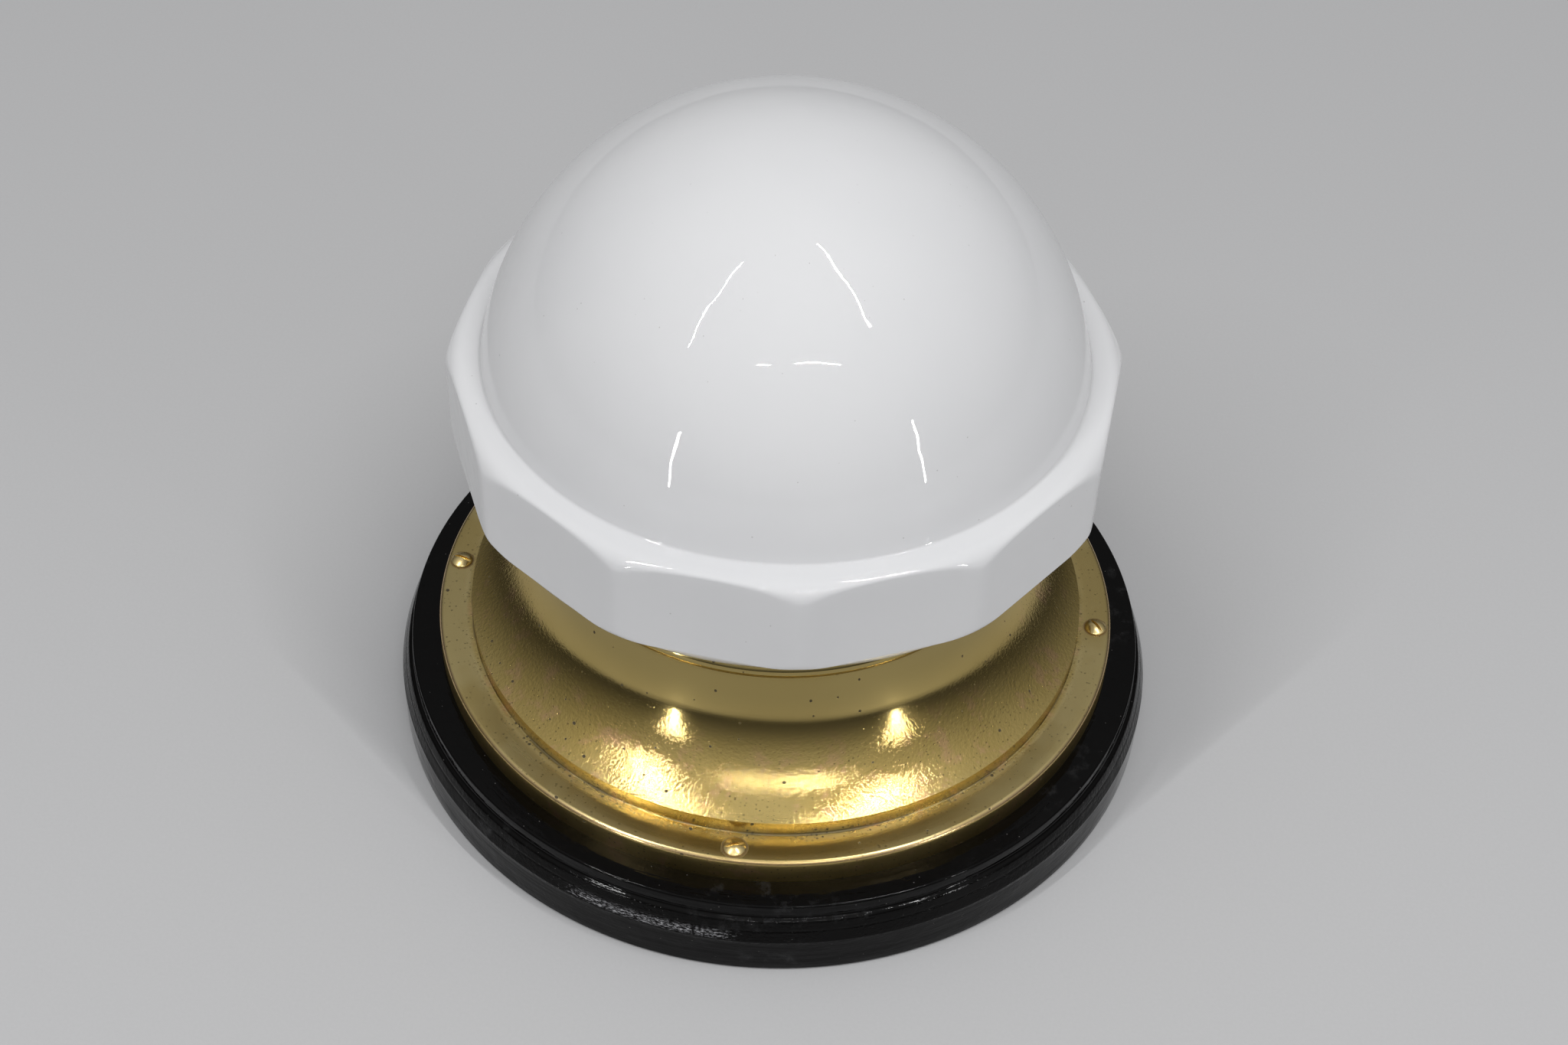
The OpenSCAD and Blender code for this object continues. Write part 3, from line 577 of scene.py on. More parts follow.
@dataclass(frozen=True)
class SpunBrassFinish:
    """Old polished brass with spinning marks, pits and soiling, and with painted shade and painted
    reflections in its colour.
    """

    name: str = "gallery_brass"
    colour: Colour = (0.59, 0.45, 0.168)
    deep: Colour = (0.45, 0.32, 0.095)
    # light yellow of the painted reflection on the flange's top
    pale: Colour = (0.70, 0.60, 0.33)
    # painted shade: colour of the upper cove, under the glass
    under_glass_shade: Colour = (0.35, 0.275, 0.11)
    # brown for soiling and for painted shade, painted shadow and painted dark reflection
    stain_and_shade: Colour = (0.16, 0.10, 0.045)
    # near black for pits and specks, and for the painted shade line in the corner
    dirt_and_shade: Colour = (0.03, 0.022, 0.012)
    film: Colour = (0.36, 0.31, 0.16)
    # pinkish tint of the painted reflections on the rim and low on the cove
    reflection_tint: Colour = (0.72, 0.42, 0.26)
    roughness: float = 0.075
    bead_out: float = 78 * MM

    def made(self) -> Material:
        """Builds the material.

        Returns:
            The spun brass.
        """
        graph = Graph(self.name)
        height = graph.xyz[2]
        radius = graph.radius
        cloud = graph.cloud(22, 4.0, 0.38, 0.72)
        rings = graph.around(2.2, 1500, 2.0)
        skirt = graph.near(radius, Gallery.skirt_r, -1.2, -0.3)
        below = graph.near(height, Gallery.flange_z, -0.4, -1.6)
        # mask of the skirt below the flange, which gets a painted dark reflection
        low_skirt = graph.times(skirt, below)
        # mask of the painted pinkish reflection on the flange's rounded rim
        rim_drop = graph.maths("ABSOLUTE", graph.less(height, Gallery.flange_z - 0.3 * MM))
        rim = graph.times(skirt, graph.between(rim_drop, 0.9 * MM, 0.2 * MM))
        flange = graph.times(
            graph.near(radius, Gallery.riser_r, 0.8, 2.4),
            graph.near(height, Gallery.flange_z, -1.2, -0.2),
        )
        blotch = graph.between(graph.noise(34, 3.0, 0.6), 0.4, 0.6)
        out, up = graph.less(radius, Gallery.riser_r), graph.less(height, Gallery.flange_z)
        gap = graph.length(out, up)
        dull = graph.between(gap, 4.0 * MM, 0.8 * MM)
        dull = graph.times(dull, graph.cloud(60, 4.0, 0.36, 0.6))
        bead = self.bead_dirt_and_shade(graph)
        ring = graph.times(self.head_dirt_and_shadow(graph), flange)
        low_down = graph.near(height, Gallery.edge_z, 22, 6)
        above = graph.times(low_down, graph.less(1.0, flange))
        # mask of the painted orange reflection low on the cove and the riser
        orange_reflection = graph.between(graph.noise(110, 5.0, 0.65), 0.52, 0.68)
        # mask of the painted shade high on the cove, under the glass
        high = graph.near(height, Gallery.edge_z, 12, 30)
        # pits, soiled spots and the painted shade line in the corner
        grime_and_corner_shade = graph.most(
            graph.spots(100, 0.07, 0.24),
            graph.times(graph.spots(620, 0.32, 0.5), dull),
            graph.times(self.corner_dirt_and_shade(graph, gap), 0.75),
        )
        thick = graph.plus(low_down, 0.04)
        specks = graph.maths("MULTIPLY", graph.spots(560, 0.2, 0.35), thick, clamp=True)
        marks = graph.most(grime_and_corner_shade, graph.times(specks, 0.5))
        soil = graph.most(grime_and_corner_shade, bead, graph.times(dull, 0.3), graph.times(ring, 0.6))
        flat = graph.near(height, Gallery.edge_z, 1, -1)
        colour = graph.painted(
            self.colour,
            (self.deep, cloud, 0.45),
            (self.deep, rings, 0.16),
            # painted dark reflection: the skirt below the flange is coloured a darker brown
            (self.stain_and_shade, low_skirt, 0.2),
            # painted reflection: a pinkish tint on the flange's rounded rim
            (self.reflection_tint, rim, 0.6),
            (self.film, dull, 0.5),
            # painted reflection: the flange's flat top is paled to a light yellow
            (self.pale, flange, 0.4),
            (self.deep, blotch, flange, 0.45),
            # brown ring of soiling and painted shadow round the screw heads
            (self.stain_and_shade, ring, 0.8),
            # brown film of soiling and painted shade on the bead under the glass
            (self.stain_and_shade, bead),
            # painted reflection: orange patches low on the cove and the riser
            (self.reflection_tint, orange_reflection, above, 0.4),
            # painted shade: the upper cove, under the glass, is coloured darker
            (self.under_glass_shade, high, 0.75),
            # near black pits and specks, with the painted shade line in the corner
            (self.dirt_and_shade, marks, 0.9),
        )
        normal = graph.relief(
            (graph.noise(42, 1.0), 0.05 * MM),
            (rings, 0.004 * MM),
            (graph.times(graph.noise(950, 3.0, 0.65), above), 0.1 * MM),
            (graph.less(1.0, marks), 0.04 * MM),
        )
        layers = [(cloud, 0.05), (rings, 0.04), (flat, 0.05), (flange, 0.08)]
        roughness = graph.raised(self.roughness, *layers, (low_skirt, 0.16), (soil, 0.4))
        return graph.shade(
            Base_Color=colour,
            Metallic=graph.less(1.0, graph.times(soil, 0.7)),
            Roughness=roughness,
            Normal=normal,
        )

    def bead_dirt_and_shade(self, graph: Graph) -> Socket:
        """Masks the brown film of soiling and painted shade on the bead's top, under the glass.

        Args:
            graph: The material's graph.

        Returns:
            The mask.
        """
        above = graph.near(graph.xyz[2], Gallery.bead_z, -0.4, 0.6)
        ragged = graph.plus(graph.radius, graph.times(graph.noise(400, 3.0), 1.2 * MM))
        inner = graph.near(ragged, self.bead_out, 0.7, -0.2)
        return graph.times(above, inner, 0.8)

    def head_dirt_and_shadow(self, graph: Graph) -> Socket:
        """Masks the brown ring of soiling and painted shadow round each of the four screw heads on
        the flange.

        Args:
            graph: The material's graph.

        Returns:
            The mask.
        """
        x, y = (graph.maths("ABSOLUTE", part) for part in graph.xyz[:2])
        off = graph.less(graph.most(x, y), Gallery.screws_r)
        away = graph.length(off, graph.maths("MINIMUM", x, y))
        gap = graph.less(away, graph.times(graph.noise(500, 2.0), 0.7 * MM))
        return graph.near(gap, Gallery.head_r, 0.5, 0)

    def corner_dirt_and_shade(self, graph: Graph, gap: Socket) -> Socket:
        """Masks the ragged dark line of soiling and painted shade in the corner at the riser's
        foot.

        Args:
            graph: The material's graph.
            gap: Distance from the corner.

        Returns:
            The mask.
        """
        ragged = graph.noise(190, 5.0, 0.7)
        reach = graph.times(graph.plus(ragged, graph.cloud(26, 2.0, 0.42, 0.62)), 0.7 * MM)
        return graph.between(graph.less(reach, gap), 0.1 * MM, 0.5 * MM)


@dataclass(frozen=True)
class PlainMetalFinish:
    """Simple metal with light scratches and a slightly uneven shine."""

    name: str
    colour: Colour
    worn: Colour
    roughness: float
    grain: float = 900.0

    def made(self) -> Material:
        """Builds the material.

        Returns:
            The metal.
        """
        graph = Graph(self.name)
        cloud = graph.cloud(260, 4.0, 0.35, 0.7)
        return graph.shade(
            Base_Color=graph.painted(self.colour, (self.worn, cloud, 0.6)),
            Metallic=1.0,
            Roughness=graph.raised(self.roughness, (cloud, 0.15)),
            Normal=graph.relief((graph.noise(self.grain, 2.0, 0.6), 0.006 * MM)),
        )


@dataclass(frozen=True)
class LacquerFinish:
    """Thick black gloss on turned wood, with brush marks, nibs, a rough shoulder and a painted
    highlight on it.
    """

    colour: Colour = (0.0016, 0.0014, 0.0013)
    grey: Colour = (0.03, 0.03, 0.031)
    dust: Colour = (0.25, 0.24, 0.23)
    bare: Colour = (0.10, 0.055, 0.03)
    bare_pale: Colour = (0.2, 0.12, 0.06)
    # pale colour of the painted highlight on the shoulder
    highlight_colour: Colour = (0.5, 0.5, 0.52)
    roughness: float = 0.06
    recess_z: float = 12.5 * MM
    recess_r: float = 86 * MM

    def made(self) -> Material:
        """Builds the material.

        Returns:
            The lacquered wood, bare inside its recess.
        """
        graph = Graph("black_wood")
        height = graph.xyz[2]
        radius = graph.radius
        swirls = graph.between(graph.noise(150, 5.0, 0.65), 0.5, 0.8)
        haze = graph.times(swirls, graph.cloud(30, 2.0, 0.52, 0.66))
        inside = graph.times(
            graph.near(height, self.recess_z, 0, -0.4),
            graph.near(radius, self.recess_r, 0, -0.6),
        )
        grain = graph.noise(1.0, 4.0, at=graph.stretched(14, 260, 14))
        shoulder = graph.times(
            graph.near(radius, Rose.top_r, 0.8, 2),
            graph.near(height, Rose.side_z, -2, 0),
        )
        ragged = graph.cloud(38, 3.0, 0.3, 0.5)
        colour = graph.painted(
            self.colour,
            (self.grey, haze, 0.8),
            (self.dust, graph.spots(500, 0.10, 0.04), 0.35),
            (graph.painted(self.bare, (self.bare_pale, grain)), inside),
            # painted highlight: pale streaks on the shoulder stand in for the lamps' glint
            (self.highlight_colour, self.painted_highlight(graph), 0.8),
        )
        normal = graph.relief(
            (graph.noise(90, 3.0), 0.25 * MM),
            (graph.around(5.0, 420, 3.0), 0.16 * MM),
            (graph.around(1.2, 900, 1.0), 0.03 * MM),
            (swirls, 0.05 * MM),
            (graph.times(graph.noise(800, 3.0, 0.6), shoulder, ragged), 0.24 * MM),
            (graph.spots(260, 0.10, 0.10), 0.12 * MM),
        )
        return graph.shade(
            Base_Color=colour,
            Roughness=graph.raised(self.roughness, (haze, 0.25), (inside, 0.5)),
            IOR=1.45,
            Specular_IOR_Level=0.15,
            Normal=normal,
        )

    def painted_highlight(self, graph: Graph) -> Socket:
        """Masks the painted highlight on the shoulder: pale streaks for the lamps' glint, thickest
        at its front left.

        Args:
            graph: The material's graph.

        Returns:
            The mask.
        """
        x, y, height = graph.xyz
        facing = graph.plus(graph.times(x, -0.2), graph.times(y, -0.98))
        front_left = graph.between(graph.maths("DIVIDE", facing, graph.radius), 0.955, 0.99)
        low = graph.near(height, Rose.side_z, -0.4, 0.6)
        high = graph.near(height, Rose.side_z, 3.6, 1.4)
        turn, rise, _ = graph.parts(graph.unrolled)
        drawn_out = graph.vector(graph.times(turn, 0.5), rise, 0.0)
        strokes = graph.noise(1500, 4.0, 0.75, drawn_out)
        limit = graph.less(0.68, graph.times(front_left, 0.22))
        marks = graph.between(graph.less(strokes, limit), 0.0, 0.2)
        return graph.times(marks, low, high)


@dataclass(frozen=True)
class GlazeFinish:
    """Glazed porcelain or dark pressed glass."""

    name: str
    colour: Colour
    shade: Colour
    speck: Colour = (0.2, 0.15, 0.1)
    roughness: float = 0.12

    def made(self) -> Material:
        """Builds the material.

        Returns:
            The glaze.
        """
        graph = Graph(self.name)
        cloud = graph.cloud(70, 4.0, 0.35, 0.75)
        colour = graph.painted(
            self.colour,
            (self.shade, cloud, 0.7),
            (self.speck, graph.spots(500, 0.07, 0.05), 0.6),
        )
        return graph.shade(
            Base_Color=colour,
            Roughness=graph.raised(self.roughness, (cloud, 0.1)),
            IOR=1.5,
            Normal=graph.relief((graph.noise(180, 2.0), 0.05 * MM)),
        )


@dataclass(frozen=True)
class BraidFinish:
    """Braided cotton over a wire."""

    name: str
    colour: Colour
    dark: Colour
    strands: float = 5200.0

    def made(self) -> Material:
        """Builds the material.

        Returns:
            The braided cotton.
        """
        graph = Graph(self.name)
        x, y, z = graph.xyz
        waves = []
        for slant in (1, -1):
            way = graph.plus(z, y, graph.times(x, slant))
            waves.append(graph.maths("SINE", graph.times(way, self.strands)))
        weave = graph.plus(graph.times(graph.plus(*waves), 0.25), 0.5)
        return graph.shade(
            Base_Color=graph.painted(self.colour, (self.dark, weave, graph.noise(3500, 2.0))),
            Roughness=0.85,
            Normal=graph.relief((weave, 0.12 * MM)),
        )


@dataclass(frozen=True)
class ClearGlassFinish:
    """Thin clear blown glass."""

    name: str = "clear_glass"
    tint: Colour = (0.97, 0.985, 0.98)
    smeared: Colour = (0.92, 0.95, 0.94)

    def made(self) -> Material:
        """Builds the material.

        Returns:
            The clear glass.
        """
        graph = Graph(self.name)
        smear = graph.cloud(90, 4.0, 0.4, 0.8)
        return graph.shade(
            Base_Color=graph.painted(self.tint, (self.smeared, smear)),
            Roughness=graph.times(smear, 0.03),
            Transmission_Weight=1.0,
            IOR=1.5,
            Normal=graph.relief((graph.noise(45, 1.0), 0.02 * MM)),
        )


SCREW_BRASS = PlainMetalFinish("screw_brass", (0.86, 0.68, 0.32), (0.68, 0.50, 0.20), 0.22)


@dataclass
class GlassShade:
    """The pressed opal glass: dome, shelf, band of flat facets, bowl, neck and lip."""

    facets: int = 12
    facet_half: float = 99 * MM
    first_corner: float = 9.0
    corner_blend: float = 0.5 * MM
    edge_blend: float = 0.8 * MM
    crowding: float = 0.5
    steps: int = 432
    dome_r: float = 92.8 * MM
    dome_z: float = 128.1 * MM
    wall: float = 4 * MM
    fillet_r: float = 1.0 * MM
    shelf_z: float = 143.9 * MM
    band_r: float = 102.2 * MM
    band_top_z: float = 137.9 * MM
    band_top_r: float = 6 * MM
    band_low_z: float = 114.4 * MM
    band_low_r: float = 4 * MM
    bowl_slope: float = 43.23
    neck_r: float = 70 * MM
    neck_top_z: float = 82.4 * MM
    lip_r: float = 72 * MM
    lip_top_z: float = 72.9 * MM
    lip_z: float = 68.9 * MM
    lip_soft: float = 1 * MM
    inner_band_r: float = 95 * MM
    inner_low_z: float = 111.39 * MM
    inner_soft: float = 3 * MM
    inner_neck_z: float = 84.13 * MM

    def outer(self) -> Outline:
        """Gives the outer outline.

        Returns:
            Points from the dome's top to the lip's foot.
        """
        fillet_z = self.shelf_z + self.fillet_r
        reach = self.dome_r + self.fillet_r
        fillet_at = math.sqrt(reach**2 - (fillet_z - self.dome_z) ** 2)
        meet = math.degrees(math.atan2(fillet_z - self.dome_z, fillet_at))
        top_at = self.band_r - self.band_top_r
        low_at = self.band_r - self.band_low_r
        turn = self.bowl_slope - 90
        soft = self.lip_soft
        bowl_head = arc((low_at, self.band_low_z), self.band_low_r, 0, turn, 8)
        return joined(
            arc((0, self.dome_z), self.dome_r, 90, meet, 44),
            arc((fillet_at, fillet_z), self.fillet_r, 180 + meet, 270, 6),
            run((fillet_at, self.shelf_z), (top_at, self.shelf_z), 2),
            arc((top_at, self.band_top_z), self.band_top_r, 90, 0, 14),
            run((self.band_r, self.band_top_z), (self.band_r, self.band_low_z), 8),
            bowl_head,
            run(bowl_head[-1], (self.neck_r, self.neck_top_z), 8),
            run((self.neck_r, self.neck_top_z), (self.neck_r, self.lip_top_z), 2),
            [(self.lip_r - soft, self.lip_top_z), (self.lip_r, self.lip_top_z - soft)],
            [(self.lip_r, self.lip_z + soft), (self.lip_r - soft, self.lip_z)],
        )

    def inner(self) -> Outline:
        """Gives the inner outline.

        Returns:
            Points from the lip's foot to the dome's top.
        """
        neck = self.neck_r - self.wall
        inner_dome = self.dome_r - self.wall
        ceiling = self.shelf_z - self.wall
        band_r = self.inner_band_r
        band_at = band_r - self.inner_soft
        meet = math.degrees(math.asin((ceiling - self.dome_z) / inner_dome))
        return joined(
            [(neck, self.lip_z), (neck, self.inner_neck_z)],
            run((neck, self.inner_neck_z), (band_r, self.inner_low_z), 3),
            run((band_r, self.inner_low_z), (band_r, ceiling - self.inner_soft), 3),
            arc((band_at, ceiling - self.inner_soft), self.inner_soft, 0, 90, 4),
            arc((0, self.dome_z), inner_dome, meet, 90, 20),
        )

    def facet_reach(self, angle: float) -> float:
        """Gives the distance from the axis to the facets' surface along a direction.

        Args:
            angle: Direction in degrees.

        Returns:
            The distance, rounded off at the corners.
        """
        width = 360 / self.facets
        off = abs((angle - self.first_corner) % width - width / 2)
        here = self.facet_half / math.cos(math.radians(off))
        beside = self.facet_half / math.cos(math.radians(width - off))
        return soft_least(here, beside, self.corner_blend)

    def build(self) -> list[Piece]:
        """Builds the glass, turned and then pressed flat on its facets, and dresses it.

        Returns:
            The glass alone.
        """
        outline = joined(self.outer(), self.inner())
        piece = Bench.turned("shade_glass", outline, self.steps, False)
        width = 360 / self.facets
        for vertex in piece.data.vertices:
            x, y, z = vertex.co
            radius = math.hypot(x, y)
            if radius < TOUCHING:
                continue
            angle = math.degrees(math.atan2(y, x)) % 360
            share = (angle / width) % 1
            angle += width * -self.crowding / math.tau * math.sin(math.tau * share)
            angle += self.first_corner
            radius = soft_least(radius, self.facet_reach(angle), self.edge_blend)
            turn = math.radians(angle)
            vertex.co = (radius * math.cos(turn), radius * math.sin(turn), z)
        Bench.smooth(piece, 40)
        piece.data.materials.append(OpalFinish().made())
        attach(piece, Body.SHADE.value)
        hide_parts("glass_shade")
        return [piece]


@dataclass
class Gallery:
    """The spun brass gallery and the four screws that hold it on the rose."""

    sheet: float = 1 * MM
    foot_z: float = 26.4 * MM
    skirt_r: float = 111 * MM
    skirt_edge: float = 1.5 * MM
    flange_z: float = 35.3 * MM
    riser_r: float = 100 * MM
    riser_soft: float = 0.5 * MM
    edge_z: float = 40.5 * MM
    collar_r: float = 74 * MM
    collar_z: float = 78.4 * MM
    cove_at: float = 114.62 * MM
    cove_r: float = 40.62 * MM
    bead_at: float = 75.8 * MM
    bead_z: float = 83.6 * MM
    bead_r: float = 2.8 * MM
    curl_end: float = -118.0
    steps: int = 360
    wave_pitch: float = 34 * MM
    wave_deep: float = 0.10 * MM
    screws_r: float = 105.9 * MM
    slot_turns: tuple[float, ...] = (110, 130, 75, 164)
    head_r: float = 3.5 * MM
    head_h: float = 1.8 * MM
    head_wall: float = 0.5 * MM
    head_soft: float = 0.1 * MM
    shank_r: float = 1.7 * MM
    screw_len: float = 20.9 * MM
    slot_w: float = 0.9 * MM
    slot_share: float = 0.55

    def outline(self) -> Outline:
        """Gives the closed outline of the sheet.

        Returns:
            Points from the skirt's foot up the outside and back down the inside.
        """
        t = self.sheet
        skirt_in = self.skirt_r - t
        edge = (self.skirt_r - self.skirt_edge, self.flange_z - self.skirt_edge)
        soft = (self.riser_r + self.riser_soft, self.flange_z + self.riser_soft)
        cove = (self.cove_at, self.collar_z)
        outer_turn = math.degrees(math.acos((self.riser_r - self.cove_at) / self.cove_r))
        inner_share = (self.riser_r - t - self.cove_at) / (self.cove_r + t)
        inner_turn = math.degrees(math.acos(inner_share))
        bead = (self.bead_at, self.bead_z)
        under = self.flange_z - t
        return joined(
            run((self.skirt_r, self.foot_z), (self.skirt_r, edge[1]), 5),
            arc(edge, self.skirt_edge, 0, 90, 8),
            run((edge[0], self.flange_z), (soft[0], self.flange_z), 4),
            arc(soft, self.riser_soft, 270, 180, 4),
            run((self.riser_r, soft[1]), (self.riser_r, self.edge_z), 3),
            arc(cove, self.cove_r, 360 - outer_turn, 180, 44),
            run((self.collar_r, self.collar_z), (self.collar_r, self.bead_z), 3),
            arc(bead, self.bead_r - t, 180, self.curl_end, 20),
            arc(bead, self.bead_r, self.curl_end, 180, 28),
            run((self.collar_r - t, self.bead_z), (self.collar_r - t, self.collar_z), 3),
            arc(cove, self.cove_r + t, 180, 360 - inner_turn, 16),
            [(self.riser_r - t, under), (skirt_in - self.skirt_edge / 3, under)],
            [(skirt_in, under - self.skirt_edge / 3), (skirt_in, self.foot_z)],
        )

    def shaped(self) -> Piece:
        """Models the spun sheet, with the slight waves that spinning and handling leave.

        Returns:
            The sheet.
        """
        piece = Bench.turned("gallery_sheet", self.outline(), self.steps, True)
        for vertex in piece.data.vertices:
            x, y, z = vertex.co
            radius = math.hypot(x, y)
            wave = noise.noise(Vector((x, y, z)) / self.wave_pitch) * self.wave_deep
            if radius > self.riser_r + 2 * MM:
                wave *= 0.6
            if z < self.foot_z + 2 * MM:
                wave = 0
            vertex.co = (x * (1 + wave / radius), y * (1 + wave / radius), z)
        Bench.smooth(piece, 35)
        return piece

    def screw(self) -> Piece:
        """Models one round-headed screw with its seat at the origin.

        Returns:
            The screw.
        """
        rise = self.head_h - self.head_wall
        ball = (self.head_r**2 + rise**2) / (2 * rise)
        low = math.degrees(math.asin((ball - rise) / ball))
        tip = self.shank_r * 1.6
        outline = joined(
            arc((0, self.head_h - ball), ball, 90, low, 14),
            [(self.head_r, self.head_soft), (self.head_r - self.head_soft, 0)],
            [(self.shank_r, 0), (self.shank_r, tip - self.screw_len)],
            [(self.shank_r / 4, -self.screw_len), (0, -self.screw_len)],
        )
        piece = Bench.turned("gallery_screw", outline, 48, False)
        Bench.clear()
        slot_z = 2 * self.head_h - self.head_h * self.slot_share
        bpy.ops.mesh.primitive_cube_add(size=1, location=(0, 0, slot_z))
        tool = bpy.context.object
        tool.dimensions = (4 * self.head_r, self.slot_w, 2 * self.head_h)
        Bench.placed(tool, 0, tool.location.copy())
        Bench.cut(piece, tool)
        sharp = {"limit_method": "ANGLE", "angle_limit": math.radians(45)}
        Bench.modify(piece, "BEVEL", width=0.09 * MM, segments=2, **sharp)
        Bench.smooth(piece, 40)
        return piece

    def screws(self) -> Piece:
        """Copies the screw round the flange and joins the copies.

        Returns:
            The four screws as one piece.
        """
        model = self.screw()
        copies = []
        for number, turn in enumerate(self.slot_turns):
            around = -90 + number * 360 / len(self.slot_turns)
            copy = model.copy()
            copy.data = model.data.copy()
            bpy.context.collection.objects.link(copy)
            where = math.radians(around)
            across, along = math.cos(where), math.sin(where)
            place = (self.screws_r * across, self.screws_r * along, self.flange_z)
            Bench.placed(copy, around + turn, place)
            copies.append(copy)
        bpy.data.objects.remove(model)
        Bench.pick(copies[0])
        for copy in copies:
            copy.select_set(True)
        bpy.ops.object.join()
        all_four = bpy.context.object
        all_four.name = "gallery_round_screws"
        return all_four

    def build(self) -> list[Piece]:
        """Builds and dresses the sheet and its screws.

        Returns:
            The sheet and the screws.
        """
        sheet = self.shaped()
        sheet.data.materials.append(SpunBrassFinish().made())
        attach(sheet, Body.ROOT.value)
        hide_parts("gallery")
        screws = self.screws()
        screws.data.materials.append(SCREW_BRASS.made())
        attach(screws, Body.ROOT.value)
        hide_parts("gallery_screws")
        return [sheet, screws]


@dataclass
class Rose:
    """The turned wooden rose with its raised top, sloping shoulder and back recess."""

    radius: float = 124.5 * MM
    height: float = 26.4 * MM
    top_r: float = 120.5 * MM
    edge_r: float = 0.8 * MM
    hollow_r: float = 1.2 * MM
    roll_r: float = 1.8 * MM
    roll_z: float = 19.6 * MM
    side_edge_r: float = 0.5 * MM
    side_z: float = 14.2 * MM
    groove_share: float = 0.4
    groove_deep: float = 0.12 * MM
    groove_wide: float = 0.3 * MM
    slope_parts: int = 24
    foot_r: float = 1 * MM
    recess_r: float = 85 * MM
    recess_z: float = 12 * MM
    wire_hole_r: float = 7 * MM
    fixing_at: float = 75 * MM
    fixing_r: float = 2.0 * MM
    steps: int = 360

    def outline(self) -> Outline:
        """Gives the closed outline.

        Returns:
            Points from the wire hole's top outwards and round.
        """
        edge = (self.top_r - self.edge_r, self.height - self.edge_r)
        reach = self.roll_r + self.hollow_r
        rise = math.sqrt(reach**2 - self.hollow_r**2)
        hollow = (self.top_r + self.hollow_r, self.roll_z + rise)
        meet = math.degrees(math.atan2(rise, self.hollow_r))
        foot = (self.radius - self.foot_r, self.foot_r)
        roll = (self.top_r, self.roll_z)
        side = (self.radius - self.side_edge_r, self.side_z - self.side_edge_r)
        across = math.dist(roll, side)
        down = math.degrees(math.atan2(side[1] - roll[1], side[0] - roll[0]))
        slope = down + math.degrees(math.acos((self.roll_r - self.side_edge_r) / across))
        upper = arc(roll, self.roll_r, meet, slope, 10)
        lower = arc(side, self.side_edge_r, slope, 0, 6)
        return joined(
            run((self.wire_hole_r, self.height), (edge[0], self.height), 12),
            arc(edge, self.edge_r, 90, 0, 6),
            arc(hollow, self.hollow_r, 180, 180 + meet, 7),
            upper,
            self.grooved(upper[-1], lower[0]),
            lower,
            run((self.radius, side[1]), (self.radius, self.foot_r), 5),
            arc(foot, self.foot_r, 0, -90, 5),
            [(self.recess_r, 0), (self.recess_r, self.recess_z), (self.wire_hole_r, self.recess_z)],
        )

    def grooved(self, high: Point, low: Point) -> Outline:
        """Gives the shoulder's slope with the turner's fine groove in it.

        Args:
            high: Upper end of the slope.
            low: Lower end of the slope.

        Returns:
            Points of the slope, both ends included.
        """
        length = math.dist(high, low)
        out, up = (low[0] - high[0]) / length, (low[1] - high[1]) / length
        points = []
        for r, z in run(high, low, self.slope_parts):
            off = (math.dist(high, (r, z)) - self.groove_share * length) / self.groove_wide
            deep = self.groove_deep * math.exp(-off * off)
            points.append((r + up * deep, z - out * deep))
        return points

    def build(self) -> list[Piece]:
        """Builds the rose, drills its two fixing holes and dresses it.

        Returns:
            The rose alone.
        """
        piece = Bench.turned("rose_wood", self.outline(), self.steps, True)
        for side in (-1, 1):
            Bench.clear()
            bpy.ops.mesh.primitive_cylinder_add(
                vertices=40,
                radius=self.fixing_r,
                depth=2 * self.height,
                location=(side * self.fixing_at, 0, self.height),
            )
            Bench.cut(piece, bpy.context.object)
        Bench.smooth(piece, 40)
        piece.data.materials.append(LacquerFinish().made())
        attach(piece, Body.ROOT.value)
        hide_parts("rose")
        return [piece]


@dataclass
class Fittings:
    """The frame's own nodes that keep their shape and get a finer finish."""

    frame: dict[str, Any]
    finishes: tuple[Any, ...]

    def build(self) -> list[Piece]:
        """Gives each node the finish of its slot.

        Returns:
            The nodes that were dressed.
        """
        made = {finish.name: finish.made() for finish in self.finishes}
        dressed = []
        for row in self.frame["record"]["subparts"]:
            node = self.frame["nodes"].get(row["node"])
            if node and row["material_slot"] in made:
                for place in node.material_slots:
                    place.material = made[row["material_slot"]]
                dressed.append(node)
        return dressed


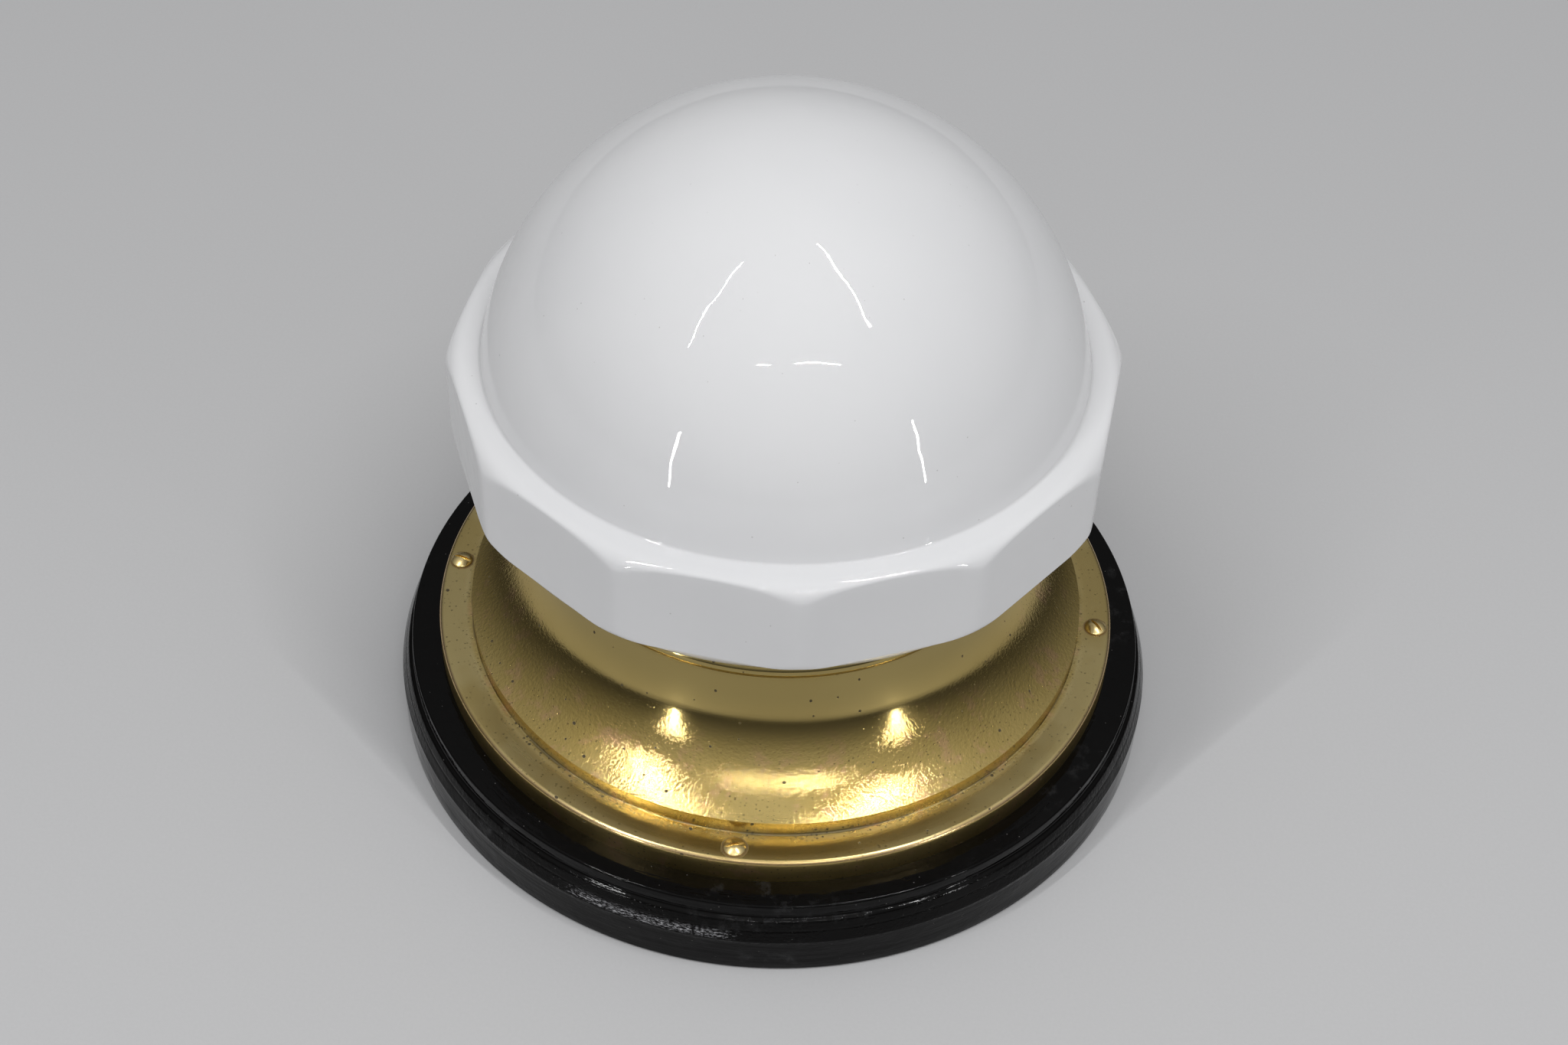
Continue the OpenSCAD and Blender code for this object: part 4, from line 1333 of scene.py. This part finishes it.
@dataclass
class Setting:
    """The floor, the lamps and the camera round the object."""

    floor_width: float = 6.0
    floor_colour: Colour = (0.52, 0.52, 0.525)
    camera_at: Place = (0.047891, -0.539479, 0.610065)
    camera_to: Place = (0.004603, -0.035331, 0.1044)
    camera_roll: float = -2.5039
    lens: float = 54.578
    lamps_to: Place = (0, 0, 0.1)
    sky_colour: Colour = (0.985, 0.99, 1.0)
    sky_low: float = 0.05
    sky_top: float = 0.72
    sky_fade: float = 1.5
    sky_side: float = 0.1
    sky_front: float = 0.45

    def floor(self) -> None:
        """Makes the floor."""
        Bench.clear()
        bpy.ops.mesh.primitive_plane_add(size=self.floor_width, location=(0, 0, 0))
        floor = bpy.context.object
        floor.name = "floor"
        graph = Graph("floor")
        near = tuple(0.94 * part for part in self.floor_colour)
        colour = graph.painted(self.floor_colour, (near, graph.noise(900, 2.0)))
        floor.data.materials.append(graph.shade(Base_Color=colour, Roughness=0.6))

    def tube(self, name: str, start: Place, end: Place, width: float, power: float) -> None:
        """Hangs a long lamp between two points, facing the object.

        Args:
            name: Name of the lamp.
            start: One end.
            end: Other end.
            width: Width of its face.
            power: Its power in watts.
        """
        data = bpy.data.lights.new(name, "AREA")
        data.shape = "RECTANGLE"
        along = Vector(end) - Vector(start)
        data.size = along.length
        data.size_y = width
        data.energy = power
        lamp = bpy.data.objects.new(name, data)
        middle = (Vector(start) + Vector(end)) / 2
        facing = (Vector(self.lamps_to) - middle).normalized()
        side = along.normalized()
        side = (side - facing * side.dot(facing)).normalized()
        turn = Matrix((side, (-facing).cross(side), -facing)).transposed()
        lamp.matrix_world = Matrix.Translation(middle) @ turn.to_4x4()
        lamp.visible_camera = False
        bpy.context.collection.objects.link(lamp)

    def camera(self) -> None:
        """Places the camera where the photograph was taken from."""
        data = bpy.data.cameras.new("camera")
        data.lens = self.lens
        data.sensor_width = 36
        camera = bpy.data.objects.new("camera", data)
        forward = (Vector(self.camera_to) - Vector(self.camera_at)).normalized()
        level = forward.to_track_quat("-Z", "Y")
        camera.rotation_mode = "QUATERNION"
        camera.rotation_quaternion = Quaternion(forward, math.radians(self.camera_roll)) @ level
        camera.location = self.camera_at
        bpy.context.collection.objects.link(camera)
        bpy.context.scene.camera = camera

    def world(self) -> None:
        """Sets the soft light all round, brighter above, in front and a little to the right."""
        world = bpy.data.worlds.new("world")
        world.use_nodes = True
        sky = Nodes(world.node_tree)
        x, y, z = sky.parts(sky.node("TexCoord").outputs["Generated"])
        up = sky.maths("POWER", sky.most(z, 0.0), self.sky_fade)
        level = sky.raised(self.sky_low, (up, self.sky_top))
        side = sky.raised(1.0, (x, self.sky_side))
        front = sky.raised(1.0, (y, -self.sky_front))
        background = world.node_tree.nodes["Background"]
        sky.give(background, "Strength", sky.times(level, side, front))
        sky.give(background, "Color", self.sky_colour)
        bpy.context.scene.world = world

    def build(self) -> None:
        """Sets everything round the object."""
        self.floor()
        self.world()
        self.camera()
        self.tube("left_tube", (-0.489, -0.182, 2.0), (-1.30, -1.24, 2.0), 0.018, 11)
        self.tube("right_tube", (0.240, 0.135, 2.0), (1.12, -0.69, 2.0), 0.018, 11)
        self.tube("front_tube", (0.275, -1.602, 2.0), (0.944, -1.481, 2.0), 0.010, 4.3)
        self.tube("short_tube", (-0.27, -1.701, 2.0), (-0.05, -1.661, 2.0), 0.012, 1.6)
        self.tube("left_strip", (-0.4655, -0.7656, 0.10), (-0.4655, -0.7656, 0.405), 0.011, 0.62)
        self.tube("right_strip", (0.735, -0.560, 0.10), (0.735, -0.560, 0.455), 0.011, 0.72)


def main() -> None:
    """Builds the object and its setting, one sub-assembly after another."""
    logging.basicConfig(level=logging.INFO, format="%(message)s")
    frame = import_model()
    bpy.context.scene.view_settings.view_transform = "Standard"
    small = (
        SpunBrassFinish(),
        GlazeFinish("porcelain", (0.72, 0.71, 0.67), (0.66, 0.63, 0.57)),
        PlainMetalFinish("contact_brass", (0.66, 0.50, 0.22), (0.38, 0.27, 0.12), 0.28),
        PlainMetalFinish("steel", (0.52, 0.52, 0.51), (0.36, 0.34, 0.32), 0.25),
        BraidFinish("wire_cloth_brown", (0.20, 0.11, 0.055), (0.07, 0.04, 0.02)),
        BraidFinish("wire_cloth_black", (0.035, 0.033, 0.03), (0.01, 0.01, 0.01)),
        ClearGlassFinish(),
        PlainMetalFinish("cap_metal", (0.66, 0.66, 0.65), (0.45, 0.44, 0.42), 0.22),
        GlazeFinish("black_glass", (0.02, 0.018, 0.02), (0.035, 0.03, 0.03)),
        PlainMetalFinish("solder", (0.50, 0.50, 0.50), (0.36, 0.36, 0.37), 0.35),
        PlainMetalFinish("lead_metal", (0.40, 0.39, 0.38), (0.24, 0.22, 0.20), 0.35),
        SCREW_BRASS,
    )
    for part in (Rose(), Gallery(), GlassShade(), Fittings(frame, small)):
        for piece in part.build():
            LOG.info("%s: %s", type(part).__name__, piece.name)
    Setting().build()
    bpy.context.view_layer.update()


if __name__ == "__main__":
    main()
